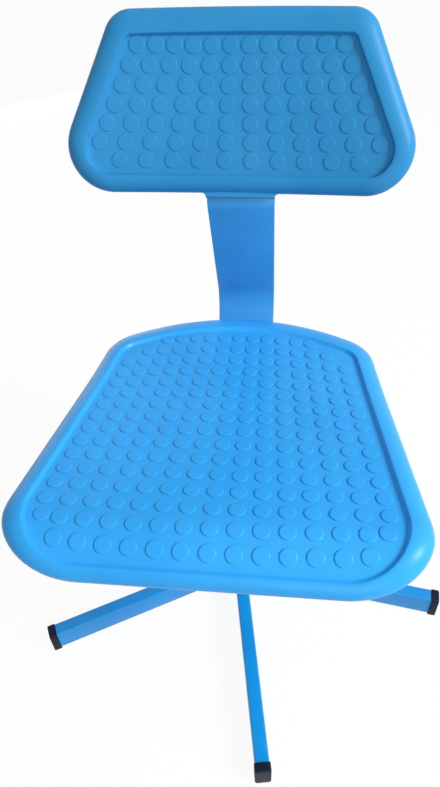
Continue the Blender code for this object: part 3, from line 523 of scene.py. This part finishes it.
@dataclass
class MouldedShell(ABC):
    """A plastic shell: a flat panel with discs, a raised rounded rim, a skirt and an open underside."""

    name: str
    outer: Outline
    inner: Outline
    finish: Finish
    node: str
    rim_rise: float
    shoulder: float
    depth: float
    matrix: Matrix
    panel: float = 0.005
    wall: float = 0.0036
    rim_width: float = 0.027
    inner_wall: float = 0.14
    discs: DiscPattern = DiscPattern(0.0090, 0.0012, 0.0006)

    @abstractmethod
    def bend(self, flat: np.ndarray) -> np.ndarray:
        """Bends flat (u, s, h) points, an array of (..., 3), into the shell's frame."""

    @abstractmethod
    def middles(self) -> np.ndarray:
        """The middles of the discs on the flat panel."""

    @abstractmethod
    def stiffeners(self) -> list[np.ndarray]:
        """Ribs, bosses and the like under the panel, as closed rings in the shell's frame."""

    def ring(self, share: float) -> np.ndarray:
        """A closed ring of the plan: the mean of the outer outline and the inner one, weighted by the share."""
        half = (1.0 - share) * self.outer.half() + share * self.inner.half()
        return np.concatenate((half, half[-2:0:-1] * (-1.0, 1.0)))

    def section(self) -> np.ndarray:
        """The rim's cross-section as (share, height), from the panel's top to its underside.

        The inner wall is a smooth step up, three times the square less twice the cube. The crown and the
        shoulder are a quarter of an ellipse, the skirt goes straight down to a half-round lip, and the underside
        follows one wall's thickness inside.

        Returns:
            An array of (points, 2).
        """
        crest = 1.0 - self.inner_wall
        climb = np.linspace(0.0, 1.0, 11)
        step = climb * climb * (3.0 - 2.0 * climb)
        inside = np.column_stack((1.0 - self.inner_wall * climb, self.rim_rise * step))
        angles = np.linspace(math.pi / 2, 0.0, 19)[1:]
        reach = self.rim_rise + self.shoulder
        crown = np.column_stack((crest * (1.0 - np.cos(angles)), reach * np.sin(angles) - self.shoulder))
        width = self.wall / self.rim_width
        turn = np.linspace(0.0, math.pi, 7)
        drop = self.wall / 2 * (1.0 - np.sin(turn)) - self.depth
        lip = np.column_stack((width / 2 * (1.0 - np.cos(turn)), drop))
        roof = self.rim_rise - 1.5 * self.wall
        under = ((width, -self.shoulder - self.wall / 2), (width * 1.6, -self.shoulder / 2), (crest * 0.6, roof),
                 (crest, roof), (1.0, -self.panel))
        return np.concatenate((inside, crown, lip, under))

    def panel_grid(self, height: float) -> np.ndarray:
        """The panel as rows across: each inner outline point's half-width times an even spread from -1 to 1.

        Args:
            height: the panel's height.

        Returns:
            An array of (rows, columns, 3) in flat (u, s, h).
        """
        half = self.inner.half()[EDGE_STEPS:]
        u = half[:, :1] * np.linspace(-1.0, 1.0, 2 * EDGE_STEPS + 1)
        return np.stack((u, np.broadcast_to(half[:, 1:], u.shape), np.full(u.shape, height)), axis=-1)

    def relieved(self, rim: np.ndarray) -> np.ndarray:
        """The flat rim with room for whatever passes it: nothing, unless a shell says otherwise."""
        return rim

    def build(self) -> None:
        """Builds the rim, the panel's two faces, the discs and what stands under the panel."""
        rings = []
        for share, height in self.section():
            plan = self.ring(float(share))
            rings.append(np.column_stack((plan, np.full(len(plan), height))))
        skin = Skin(self.matrix).grid(self.bend(self.relieved(np.stack(rings))), closed=True)
        for height in (0.0, -self.panel):
            skin.grid(self.bend(self.panel_grid(height)))
        skin.grid(self.bend(self.discs.rings(self.middles())), closed=True)
        for points in self.stiffeners():
            skin.solid(points)
        skin.build(self.name, self.finish, Body.SEAT, (self.node,))


def seat_matrix() -> Matrix:
    """The seat's frame in the world: on the swivel axis at the seat's height, tilted back."""
    place = Vector(HUB_PLACE) + Vector((0.0, 0.0, SEAT_HEIGHT))
    return Matrix.Translation(place) @ Matrix.Rotation(-SEAT_TILT, 4, "X")


def rib(low: Sequence[float], high: Sequence[float]) -> np.ndarray:
    """A flat rib between two corners, drawn as rings along its longest direction, so that it can bend.

    Args:
        low: the corner with the lowest values.
        high: the corner with the highest values.

    Returns:
        An array of (rings, 8, 3).
    """
    low, high = np.asarray(low, float), np.asarray(high, float)
    longest = int(np.argmax(high - low))
    first, second = [axis for axis in range(3) if axis != longest]
    middle = (low + high) / 2.0
    half = (high - low) / 2.0
    section = rounded_section(half[first], half[second], RIB_CORNER, 1)
    rings = np.empty((RIB_STEPS + 1, len(section), 3))
    rings[..., longest] = np.linspace(low[longest], high[longest], RIB_STEPS + 1)[:, None]
    rings[..., first] = middle[first] + section[:, 0]
    rings[..., second] = middle[second] + section[:, 1]
    return rings


@dataclass(frozen=True)
class Boss:
    """A round boss with a bore for its screw, a softened end and a flared root."""

    radius: float
    bore: float = 0.0034
    bore_depth: float = 0.006
    bore_edge: float = 0.0004
    edge: float = 0.0005
    flare: float = 0.002
    flare_start: float = 0.004
    flare_knee: tuple[float, float] = (0.0006, 0.0015)
    steps: int = 32

    def rings(self, place: Sequence[float], low: float, high: float) -> np.ndarray:
        """The boss's profile turned about its own axis: each radius is carried round by cosine and sine.

        Args:
            place: its (u, s) place.
            low: the height of its free end.
            high: the height of its root.

        Returns:
            An array of (rings, steps, 3).
        """
        wide, under = self.flare_knee
        profile = np.array((
            (self.bore, low + self.bore_depth), (self.bore, low + self.bore_edge),
            (self.bore + self.bore_edge, low), (self.radius - self.edge, low), (self.radius, low + self.edge),
            (self.radius, high - self.flare_start), (self.radius + wide, high - under),
            (self.radius + self.flare, high)))
        angles = np.linspace(0.0, math.tau, self.steps, endpoint=False)
        u = place[0] + profile[:, :1] * np.cos(angles)
        s = place[1] + profile[:, :1] * np.sin(angles)
        return np.stack((u, s, np.broadcast_to(profile[:, 1:], u.shape)), axis=-1)


@dataclass
class SeatShell(MouldedShell):
    """The seat, with a rolled front edge and a rear that lifts slightly."""

    roll_start: float = -0.233
    roll_radius: float = 0.062
    dish_start: float = -0.020
    dish_radius: float = 1.1
    rows: int = 16
    row_pitch: float = 0.0251
    first_row: float = -0.2725
    full_reach: int = 7
    column_pitch: float = 0.02622
    column_step: float = -0.00040
    bow: float = 0.0061
    bow_step: float = -0.0015
    corner: tuple[float, float] = (0.135, -0.232)
    corner_rows: int = 2
    corner_reach: float = 0.0405
    screws: tuple[float, float] = (0.070, 0.072)
    rib_reaches: tuple[float, float] = (0.174, 0.158)
    rib_depth: float = 0.012
    rib_half: float = 0.0015
    rear_sink: float = 0.002
    boss: Boss = Boss(0.008)

    def bend(self, flat: np.ndarray) -> np.ndarray:
        """Rolls the front down round a cylinder and curves the rear up round a large one.

        Ahead of the roll's start a point turns about the roll's axis by its distance over the roll's radius.
        Behind the dish's start it turns about an axis above the seat in the same way.

        Args:
            flat: an array of (..., 3).

        Returns:
            An array of the same shape.
        """
        u, s, h = flat[..., 0], flat[..., 1], flat[..., 2]
        roll = np.maximum(self.roll_start - s, 0.0) / self.roll_radius
        dish = np.maximum(s - self.dish_start, 0.0) / self.dish_radius
        rolled = self.roll_radius + h
        dished = self.dish_radius - h
        along = np.where(roll > 0.0, self.roll_start - rolled * np.sin(roll), s)
        along = np.where(dish > 0.0, self.dish_start + dished * np.sin(dish), along)
        up = np.where(roll > 0.0, rolled * np.cos(roll) - self.roll_radius, h)
        up = np.where(dish > 0.0, self.dish_radius - dished * np.cos(dish), up)
        return np.stack((u, along, up), axis=-1)

    def middles(self) -> np.ndarray:
        """The discs of the seat, row by row from the front.

        A row's discs are spread evenly, with a pitch that shrinks by a fixed step from row to row. A row also
        bows by the square of a disc's share of the way out. The end discs of the front rows are pulled in along
        the corner's radius.

        Returns:
            An array of (discs, 2).
        """
        found = []
        shorter = {0: 1, self.rows - 2: 1, self.rows - 1: 2}
        for row in range(self.rows):
            reach = self.full_reach - shorter.get(row, 0)
            columns = np.arange(-reach, reach + 1)
            u = columns * (self.column_pitch + self.column_step * row)
            bow = (self.bow + self.bow_step * row) * (columns / self.full_reach) ** 2
            s = self.first_row + self.row_pitch * row + bow
            if row < self.corner_rows:
                right, ahead = np.abs(u) - self.corner[0], s - self.corner[1]
                distance = np.maximum(np.hypot(right, ahead), self.corner_reach)
                scale = np.where((right > 0) & (ahead < 0), self.corner_reach / distance, 1.0)
                u = np.sign(u) * (self.corner[0] + right * scale)
                s = self.corner[1] + ahead * scale
            found.append(np.stack((u, s), axis=-1))
        return np.concatenate(found)

    def stiffeners(self) -> list[np.ndarray]:
        """Two ribs across and two along, through the four screw bosses that stand on the mounting plate."""
        low, high = -self.panel - self.rib_depth, -self.panel / 2
        half, (beside, behind) = self.rib_half, self.screws
        parts = [self.bend(rib((-reach, s - half, low), (reach, s + half, high)))
                 for s, reach in zip((-behind, behind), self.rib_reaches)]
        parts += [self.bend(rib((u - half, self.roll_start, low), (u + half, self.dish_start, high)))
                  for u in (-beside, beside)]
        parts += [self.boss.rings((u, s), PLATE_TOP + GAP, high + (self.rear_sink if s > 0.0 else 0.0))
                  for u in (-beside, beside) for s in (-behind, behind)]
        return parts


@dataclass(frozen=True)
class BackPlace:
    """Where the backrest stands in the seat's frame, and how the bar that carries it leans sideways."""

    edge: tuple[float, float] = (0.0672, 0.2302)
    recline: float = math.radians(13.75)
    bar_level: float = -0.0339
    back_level: float = -0.0133
    shift: float = 0.0055
    lean: float = math.radians(0.45)
    roll: float = math.radians(0.3)
    yaw: float = math.radians(0.3)
    offset: float = -0.0030

    def up(self) -> np.ndarray:
        """The upward direction along the backrest, as (s, h)."""
        return np.array((math.sin(self.recline), math.cos(self.recline)))

    def forward(self) -> np.ndarray:
        """The direction out of the backrest's front, as (s, h)."""
        return np.array((-math.cos(self.recline), math.sin(self.recline)))

    def aside(self, height: np.ndarray | float) -> np.ndarray | float:
        """The bar's middle to the side at a height: its shift, plus the lean's slope times the rise."""
        return self.shift + math.tan(self.lean) * (height - self.bar_level)

    def matrix(self) -> Matrix:
        """The backrest's frame in the world, turned by the bar's lean, and a little more by its own loose fit."""
        frame = Matrix.Identity(4)
        frame.col[1][:3] = (0.0, *self.up())
        frame.col[2][:3] = (0.0, *self.forward())
        frame.col[3][:3] = (self.aside(self.edge[1]) + self.offset, *self.edge)
        turn = -math.atan(math.tan(self.lean) * math.cos(self.recline)) - self.roll
        return seat_matrix() @ frame @ Matrix.Rotation(turn, 4, "Z") @ Matrix.Rotation(self.yaw, 4, "Y")


@dataclass
class BackrestShell(MouldedShell):
    """The backrest, reclined and slightly curved round the sitter's back."""

    place: BackPlace = BackPlace()
    curve_radius: float = 0.90
    bar_width: float = 0.082
    notch_depth: float = 0.010
    tab_half: float = 0.0412
    tab_drop: float = 0.0085
    tab_thickness: float = 0.009
    tab_overlap: float = 0.006
    tab_corner: float = 0.0015
    tab_flare: float = 0.0035
    tab_bevel: tuple[float, float] = (0.0025, 0.002)
    screws: tuple[float, tuple[float, float]] = (0.024, (0.060, 0.098))
    boss: Boss = Boss(0.007)
    discs: DiscPattern = DiscPattern(0.0090, 0.0008, 0.0005)
    rows: int = 6
    columns: int = 12
    top_row: float = 0.1523
    row_pitch: float = 0.0199
    column_pitch: float = 0.0205
    column_step: float = 0.00167
    lowest_row: float = 0.0337
    lowest_columns: int = 10

    def bend(self, flat: np.ndarray) -> np.ndarray:
        """Curves the panel round an upright axis in front of it: each point turns by its width over the radius.

        Args:
            flat: an array of (..., 3).

        Returns:
            An array of the same shape.
        """
        u, s, h = flat[..., 0], flat[..., 1], flat[..., 2]
        angle = u / self.curve_radius
        radius = self.curve_radius - h
        return np.stack((radius * np.sin(angle), s, self.curve_radius - radius * np.cos(angle)), axis=-1)

    def middles(self) -> np.ndarray:
        """The discs of the backrest: full rows whose pitch grows downwards, and a shorter lowest row.

        Returns:
            An array of (discs, 2).
        """
        found = []
        for row in range(self.rows + 1):
            count, up = self.columns, self.top_row - self.row_pitch * row
            if row == self.rows:
                count, up = self.lowest_columns, self.lowest_row
            u = (np.arange(count) - (count - 1) / 2.0) * (self.column_pitch + self.column_step * row)
            found.append(np.stack((u, np.full(count, up)), axis=-1))
        return np.concatenate(found)

    def relieved(self, rim: np.ndarray) -> np.ndarray:
        """Opens the lower skirt where the bar passes: points in its width come no lower than its face.

        Args:
            rim: an array of (..., 3) in flat (u, s, h).

        Returns:
            An array of the same shape.
        """
        low = self.place.back_level + GAP
        reach = self.bar_width / 2 + abs(self.place.offset) + 1.5 * GAP
        inside = (np.abs(rim[..., 0]) < reach) & (rim[..., 1] < self.notch_depth)
        height = np.where(inside, np.maximum(rim[..., 2], low), rim[..., 2])
        return np.concatenate((rim[..., :2], height[..., None]), axis=-1)

    def stiffeners(self) -> list[np.ndarray]:
        """The tab over the bar's front, and the four bosses that the bar is screwed to.

        The tab is a box whose width follows its height: a quarter circle at each lower corner, and another the
        other way where it widens into the rim. Its face falls back by the square of the way to its lower end.

        Returns:
            The closed rings of the tab and of each boss.
        """
        low = self.place.back_level + GAP
        turn = np.linspace(0.0, math.pi / 2, 6)
        rise, spread = 1.0 - np.cos(turn), 1.0 - np.sin(turn)
        half, corner, flare = self.tab_half, self.tab_corner, self.tab_flare
        ends = np.column_stack((corner * rise - self.tab_drop, half - corner * spread))
        wings = np.column_stack((self.outer.front - flare * spread, half + flare * rise))
        sides = np.concatenate((ends, wings, ((self.tab_overlap, half + flare),)))
        section = rounded_section(1.0, 1.0, 0.0, 1)[::2]
        tab = np.empty((len(sides), len(section), 3))
        tab[..., 0] = sides[:, 1:] * section[:, 0] - self.place.offset
        tab[..., 1] = sides[:, :1]
        reach, fall = self.tab_bevel
        share = 1.0 - np.minimum((sides[:, :1] + self.tab_drop) / reach, 1.0)
        tab[..., 2] = np.where(section[:, 1] > 0.0, low + self.tab_thickness - fall * share ** 2, low)
        beside, heights = self.screws
        middles = [(u - self.place.offset, t) for u in (-beside, beside) for t in heights]
        return [tab, *(self.boss.rings(middle, low, -self.panel / 2) for middle in middles)]


@dataclass
class BackBar:
    """The bent strip of flat steel between the seat's plate and the backrest."""

    width: float = 0.082
    thickness: float = 0.005
    corner: float = 0.0012
    start: float = 0.028
    reach: float = 0.220
    lower_radius: float = 0.060
    upper_radius: float = 0.025
    below_back: float = 0.016
    overlap: float = 0.118
    place: BackPlace = BackPlace()

    def path(self) -> np.ndarray:
        """The front face's line as (s, h): three straight runs with an arc at each of the two corners.

        At a corner the arc's centre is on the line that halves the corner, its radius over the sine of half the
        corner's angle away, so that the arc touches both runs.

        Returns:
            An array of (points, 2).
        """
        place = self.place
        up = place.up()
        foot = np.array(place.edge) + place.forward() * place.back_level
        corners = [np.array((self.start, place.bar_level)), np.array((self.reach, place.bar_level)),
                   foot - up * self.below_back, foot + up * self.overlap]
        parts = [corners[0][None]]
        for index, radius, steps in ((1, self.lower_radius, 40), (2, self.upper_radius, 20)):
            before = corners[index - 1] - corners[index]
            after = corners[index + 1] - corners[index]
            before /= np.linalg.norm(before)
            after /= np.linalg.norm(after)
            half = math.acos(float(before @ after)) / 2.0
            halver = (before + after) / np.linalg.norm(before + after)
            center = corners[index] + halver * radius / math.sin(half)
            first = corners[index] + before * radius / math.tan(half) - center
            last = corners[index] + after * radius / math.tan(half) - center
            start = math.atan2(first[1], first[0])
            sweep = math.atan2(first[0] * last[1] - first[1] * last[0], float(first @ last))
            parts.append(arc(center, radius, start, start + sweep, steps))
        parts.append(corners[3][None])
        return np.concatenate(parts)

    def build(self) -> None:
        """Carries a round-cornered section along the path, thickness backwards and width across."""
        path = self.path()
        along = np.gradient(path, axis=0)
        along /= np.linalg.norm(along, axis=1, keepdims=True)
        back = np.stack((along[:, 1], -along[:, 0]), axis=-1)
        section = rounded_section(self.width / 2, self.thickness / 2, self.corner)
        depth = section[:, 1] + self.thickness / 2
        plane = path[:, None] + back[:, None] * depth[None, :, None]
        across = section[:, 0] + self.place.aside(plane[..., 1])
        rings = np.concatenate((across[..., None], plane), axis=-1)
        # The bar's finish is the legs' blue paint made paler: painted light on the bar.
        Skin(seat_matrix()).solid(rings).build("bent_back_bar", BAR_PAINT_PALED_AS_PAINTED_LIGHT, Body.SEAT, ("back_bar",))


def prism(places: np.ndarray, section: np.ndarray, scale: np.ndarray | float = 1.0) -> np.ndarray:
    """A section carried straight along X, and scaled about its middle at each place.

    Args:
        places: the x of each ring.
        section: an array of (points, 2).
        scale: the scale at each place, as (places, 1, 2).

    Returns:
        An array of (places, points, 3).
    """
    rings = np.empty((len(places), len(section), 3))
    rings[..., 0] = places[:, None]
    rings[..., 1:] = section * scale
    return rings


@dataclass
class StarBase:
    """The five legs with their welds and end caps."""

    count: int = 5
    first_angle: float = math.radians(-79.8)
    radius: float = 0.332
    width: float = 0.020
    height: float = 0.040
    corner: float = 0.0025
    slope: float = math.radians(2.0)
    hub_radius: float = 0.030
    root_depth: float = 0.0025
    sole: float = 0.003
    cap_wall: float = 0.0012
    cap_end: float = 0.003
    cap_hood: float = 0.012
    cap_edge: float = 0.002
    bead: float = 0.0021
    ripple: float = 0.0003
    ripple_length: float = 0.0011

    def turn(self, number: int) -> Matrix:
        """The matrix that carries a leg drawn along X to its place, with the legs counted from 1."""
        angle = self.first_angle + math.tau * (number - 1) / self.count
        return Matrix.Translation(HUB_PLACE) @ Matrix.Rotation(angle, 4, "Z")

    def drop(self, rings: np.ndarray, height: float) -> np.ndarray:
        """Lifts a leg's rings and slopes them down to the tip, but leaves what lies on the floor.

        Each point rises by the given height, and by its distance inwards times the slope.

        Args:
            rings: an array of (..., 3), drawn along X.
            height: the height of the middle at the tip.

        Returns:
            An array of the same shape.
        """
        raised = rings + (0.0, 0.0, height)
        rise = (self.radius - rings[..., 0]) * math.tan(self.slope)
        raised[..., 2] += np.where(raised[..., 2] > GAP, rise, 0.0)
        return raised

    def leg(self, number: int) -> None:
        """One leg: a round-cornered section carried straight out along X, into the hub at one end."""
        section = rounded_section(self.width / 2, self.height / 2, self.corner)
        places = np.linspace(self.hub_radius - self.root_depth, self.radius - self.cap_end - GAP, 3)
        rings = self.drop(prism(places, section), self.sole + GAP + self.height / 2)
        Skin(self.turn(number)).solid(rings).build(
            f"painted_leg_{number}", BLUE_PAINT, Body.BASE, (f"leg_{number}",))

    def weld(self, number: int) -> None:
        """The weld round a leg's root: a small circle carried along the line where the leg meets the round hub.

        The line's distance from the axis is the root of the hub's radius squared less the section's width
        squared. The circle's radius swells and shrinks along the line as a weld's ripples do.

        Args:
            number: the leg's number.
        """
        section = rounded_section(self.width / 2, self.height / 2, self.corner, 8)
        sides = np.concatenate((section, section[:1]))
        lengths = np.concatenate(([0.0], np.cumsum(np.hypot(*np.diff(sides, axis=0).T))))
        even = np.linspace(0.0, lengths[-1], 96, endpoint=False)
        line = np.stack([np.interp(even, lengths, sides[:, axis]) for axis in (0, 1)], axis=-1)
        x = np.sqrt(self.hub_radius ** 2 - line[:, 0] ** 2)
        center = self.drop(np.column_stack((x, line)), self.sole + GAP + self.height / 2)
        outward = line / np.hypot(line[:, 0], line[:, 1])[:, None]
        angles = np.linspace(0.0, math.tau, 10, endpoint=False)
        bead = self.bead + self.ripple * np.sin(even / self.ripple_length)
        side = np.column_stack((np.zeros(len(line)), outward))
        circle = np.cos(angles)[:, None] * side[:, None] + np.sin(angles)[:, None] * (1.0, 0.0, 0.0)
        rings = center[:, None] + bead[:, None, None] * circle
        skin = Skin(self.turn(number)).grid(np.concatenate((rings, rings[:1])), closed=True)
        skin.build(f"leg_weld_{number}", BLUE_PAINT, Body.BASE)

    def cap(self, number: int) -> None:
        """The end of a leg: a hood with a rounded end over the tube, carried along X, with a flat sole."""
        half_width = self.width / 2 + GAP + self.cap_wall
        half_height = (self.sole + self.height + self.cap_wall) / 2 + GAP
        angles = np.linspace(0.0, math.pi / 2, 6)
        ends = self.radius - self.cap_edge * (1.0 - np.sin(angles))
        insets = np.concatenate(((0.0,), self.cap_edge * (1.0 - np.cos(angles))))
        places = np.concatenate(((self.radius - self.cap_hood,), ends))
        section = rounded_section(half_width, half_height, self.corner + self.cap_wall)
        scale = 1.0 - insets[:, None, None] / (half_width, half_height)
        rings = self.drop(prism(places, section, scale), half_height)
        Skin(self.turn(number)).solid(rings).build(
            f"leg_end_{number}", CAP_PLASTIC, Body.BASE, (f"end_cap_{number}",))

    def build(self) -> None:
        """Builds every leg with its weld and its cap."""
        for number in range(1, self.count + 1):
            self.leg(number)
            self.weld(number)
            self.cap(number)


@dataclass
class Column:
    """The gas column and the hardware under the seat, which keep their CAD shapes and get their finishes."""

    nodes: dict[str, bpy.types.Object]
    finishes: tuple[Finish, ...] = (BLUE_PAINT, CAP_PLASTIC, PLATED_STEEL, SEAT_PLASTIC, BACK_PLASTIC)

    def dress(self, record: dict) -> None:
        """Gives every CAD node the finish of its material slot.

        Args:
            record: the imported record.
        """
        by_slot = {finish.slot.value: finish for finish in self.finishes}
        for part in record["subparts"]:
            materials = self.nodes[part["node"]].data.materials
            materials.clear()
            materials.append(by_slot[part["material_slot"]].material())
        LOG.info("dressed %d nodes", len(record["subparts"]))


@dataclass(frozen=True)
class PhotoCamera:
    """The camera as fitted to the photograph."""

    place: tuple[float, float, float] = (0.0552, -0.6080, 0.9922)
    yaw: float = math.radians(-8.100)
    pitch: float = math.radians(41.964)
    roll: float = math.radians(3.301)
    focal_pixels: float = 636.3
    image_height: float = 787.0
    nearest: float = 0.01

    def build(self) -> None:
        """Makes the camera.

        The view's forward, right and down directions follow from yaw and pitch, and the roll turns the last two.
        """
        level = math.cos(self.pitch)
        forward = Vector((math.sin(self.yaw) * level, math.cos(self.yaw) * level, -math.sin(self.pitch)))
        right = Vector((math.cos(self.yaw), -math.sin(self.yaw), 0.0))
        down = forward.cross(right)
        across = math.cos(self.roll) * right + math.sin(self.roll) * down
        below = -math.sin(self.roll) * right + math.cos(self.roll) * down
        data = bpy.data.cameras.new("camera")
        data.lens = self.focal_pixels / self.image_height * data.sensor_width
        data.clip_start = self.nearest
        camera = bpy.data.objects.new("camera", data)
        frame = Matrix((across, -below, -forward)).transposed().to_4x4()
        frame.translation = self.place
        camera.matrix_world = frame
        bpy.context.scene.collection.objects.link(camera)
        bpy.context.scene.camera = camera


def background_rays(tree: bpy.types.NodeTree) -> bpy.types.NodeSocket:
    """Tells the rays that show the background, which are camera, glossy and transmission rays, from all others.

    Args:
        tree: the node tree to add to.

    Returns:
        A socket that is 1 for those rays and 0 otherwise.
    """
    rays = tree.nodes.new("ShaderNodeLightPath")
    found = rays.outputs["Is Camera Ray"]
    for name in ("Is Glossy Ray", "Is Transmission Ray"):
        either = tree.nodes.new("ShaderNodeMath")
        either.operation = "MAXIMUM"
        tree.links.new(found, either.inputs[0])
        tree.links.new(rays.outputs[name], either.inputs[1])
        found = either.outputs[0]
    return found


@dataclass(frozen=True)
class SoftLamp:
    """A square soft lamp that faces the chair's middle."""

    name: str
    place: tuple[float, float, float]
    size: float
    power: float
    target: tuple[float, float, float] = (0.0, 0.0, 0.5)

    def build(self) -> None:
        """Makes the lamp."""
        data = bpy.data.lights.new(self.name, "AREA")
        data.shape = "SQUARE"
        data.size = self.size
        data.energy = self.power
        lamp = bpy.data.objects.new(self.name, data)
        lamp.location = self.place
        lamp.rotation_euler = (Vector(self.target) - Vector(self.place)).to_track_quat("-Z", "Y").to_euler()
        bpy.context.scene.collection.objects.link(lamp)


@dataclass
class Studio:
    """A pale floor, an even white surround and soft lamps."""

    floor_size: float = 30.0
    floor_steps: int = 8
    floor_level: float = -0.0006
    floor_glow: float = 0.93
    floor_tones: tuple[float, float] = (0.45, 0.95)
    surround: float = 0.41
    lamps: tuple[SoftLamp, ...] = (
        SoftLamp("key_lamp", (2.3, -0.9, 2.2), 1.0, 98.0),
        SoftLamp("fill_lamp", (0.5, -2.6, 0.45), 1.2, 15.0),
        SoftLamp("back_lamp", (-1.6, 2.4, 0.35), 2.0, 15.0))

    def floor(self) -> None:
        """The floor: a flat grid, nearly white to the camera, that still takes the chair's shadow."""
        graph = Graph("pale floor")
        seen = background_rays(graph.tree)
        graph.shade({"Base Color": graph.ramp(seen, 0.0, 1.0, *self.floor_tones), "Roughness": 0.9})
        mix = graph.node("ShaderNodeMixShader")
        glow = graph.node("ShaderNodeEmission")
        share = graph.ramp(seen, 0.0, 1.0, 0.0, self.floor_glow)
        shown = (share, graph.shader.outputs["BSDF"], glow.outputs["Emission"])
        for socket, value in zip(mix.inputs, shown):
            graph.feed(socket, value)
        graph.feed(graph.tree.nodes["Material Output"].inputs["Surface"], mix.outputs["Shader"])
        half = self.floor_size / 2
        axis = np.linspace(-half, half, self.floor_steps + 1)
        x, y = np.meshgrid(axis, axis)
        points = np.stack((x, y, np.full(x.shape, self.floor_level)), axis=-1)
        skin = Skin(Matrix.Identity(4)).grid(points)
        mesh = bpy.data.meshes.new("floor")
        mesh.from_pydata(skin.points[0].tolist(), [], skin.faces[0].tolist())
        mesh.materials.append(graph.material)
        floor = bpy.data.objects.new("floor", mesh)
        bpy.context.scene.collection.objects.link(floor)

    def world(self) -> None:
        """The surround: white to the camera and in reflections, and a softer white as light."""
        world = bpy.data.worlds.new("surround")
        world.use_nodes = True
        tree = world.node_tree
        seen = tree.nodes.new("ShaderNodeMapRange")
        seen.inputs["To Min"].default_value = self.surround
        tree.links.new(background_rays(tree), seen.inputs["Value"])
        background = tree.nodes["Background"]
        background.inputs["Color"].default_value = opaque((1.0, 1.0, 1.0))
        tree.links.new(seen.outputs["Result"], background.inputs["Strength"])
        bpy.context.scene.world = world

    def build(self) -> None:
        """Builds the floor, the surround and the lamps."""
        self.floor()
        self.world()
        for lamp in self.lamps:
            lamp.build()
        bpy.context.scene.view_settings.view_transform = "Standard"


def main() -> None:
    """Builds the looks of the chair in order and reports each piece."""
    logging.basicConfig(level=logging.INFO, format="%(name)s: %(message)s")
    for item in list(bpy.data.objects):
        bpy.data.objects.remove(item, do_unlink=True)
    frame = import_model()
    PhotoCamera().build()
    Studio().build()
    Column(frame["nodes"]).dress(frame["record"])
    SeatShell("seat_with_discs", Outline(-0.317, 0.158, 0.196, 0.116, 0.090, 0.062, 0.312),
              Outline(-0.289, 0.121, 0.1678, 0.116, 0.062, 0.032, 0.275), SEAT_PLASTIC, "seat_shell",
              rim_rise=0.0045, shoulder=0.013, depth=0.028, matrix=seat_matrix()).build()
    BackrestShell("backrest_with_discs", Outline(-0.0030, 0.1901, 0.2222, 0.446, 0.051, 0.032, 3.0, 0.0443),
                  Outline(0.0195, 0.1612, 0.1970, 0.470, 0.0265, 0.006, 2.97, 0.0443), BACK_PLASTIC,
                  "backrest_shell", rim_rise=0.0045, shoulder=0.010, depth=0.022,
                  matrix=BackPlace().matrix()).build()
    BackBar().build()
    StarBase().build()


if __name__ == "__main__":
    main()
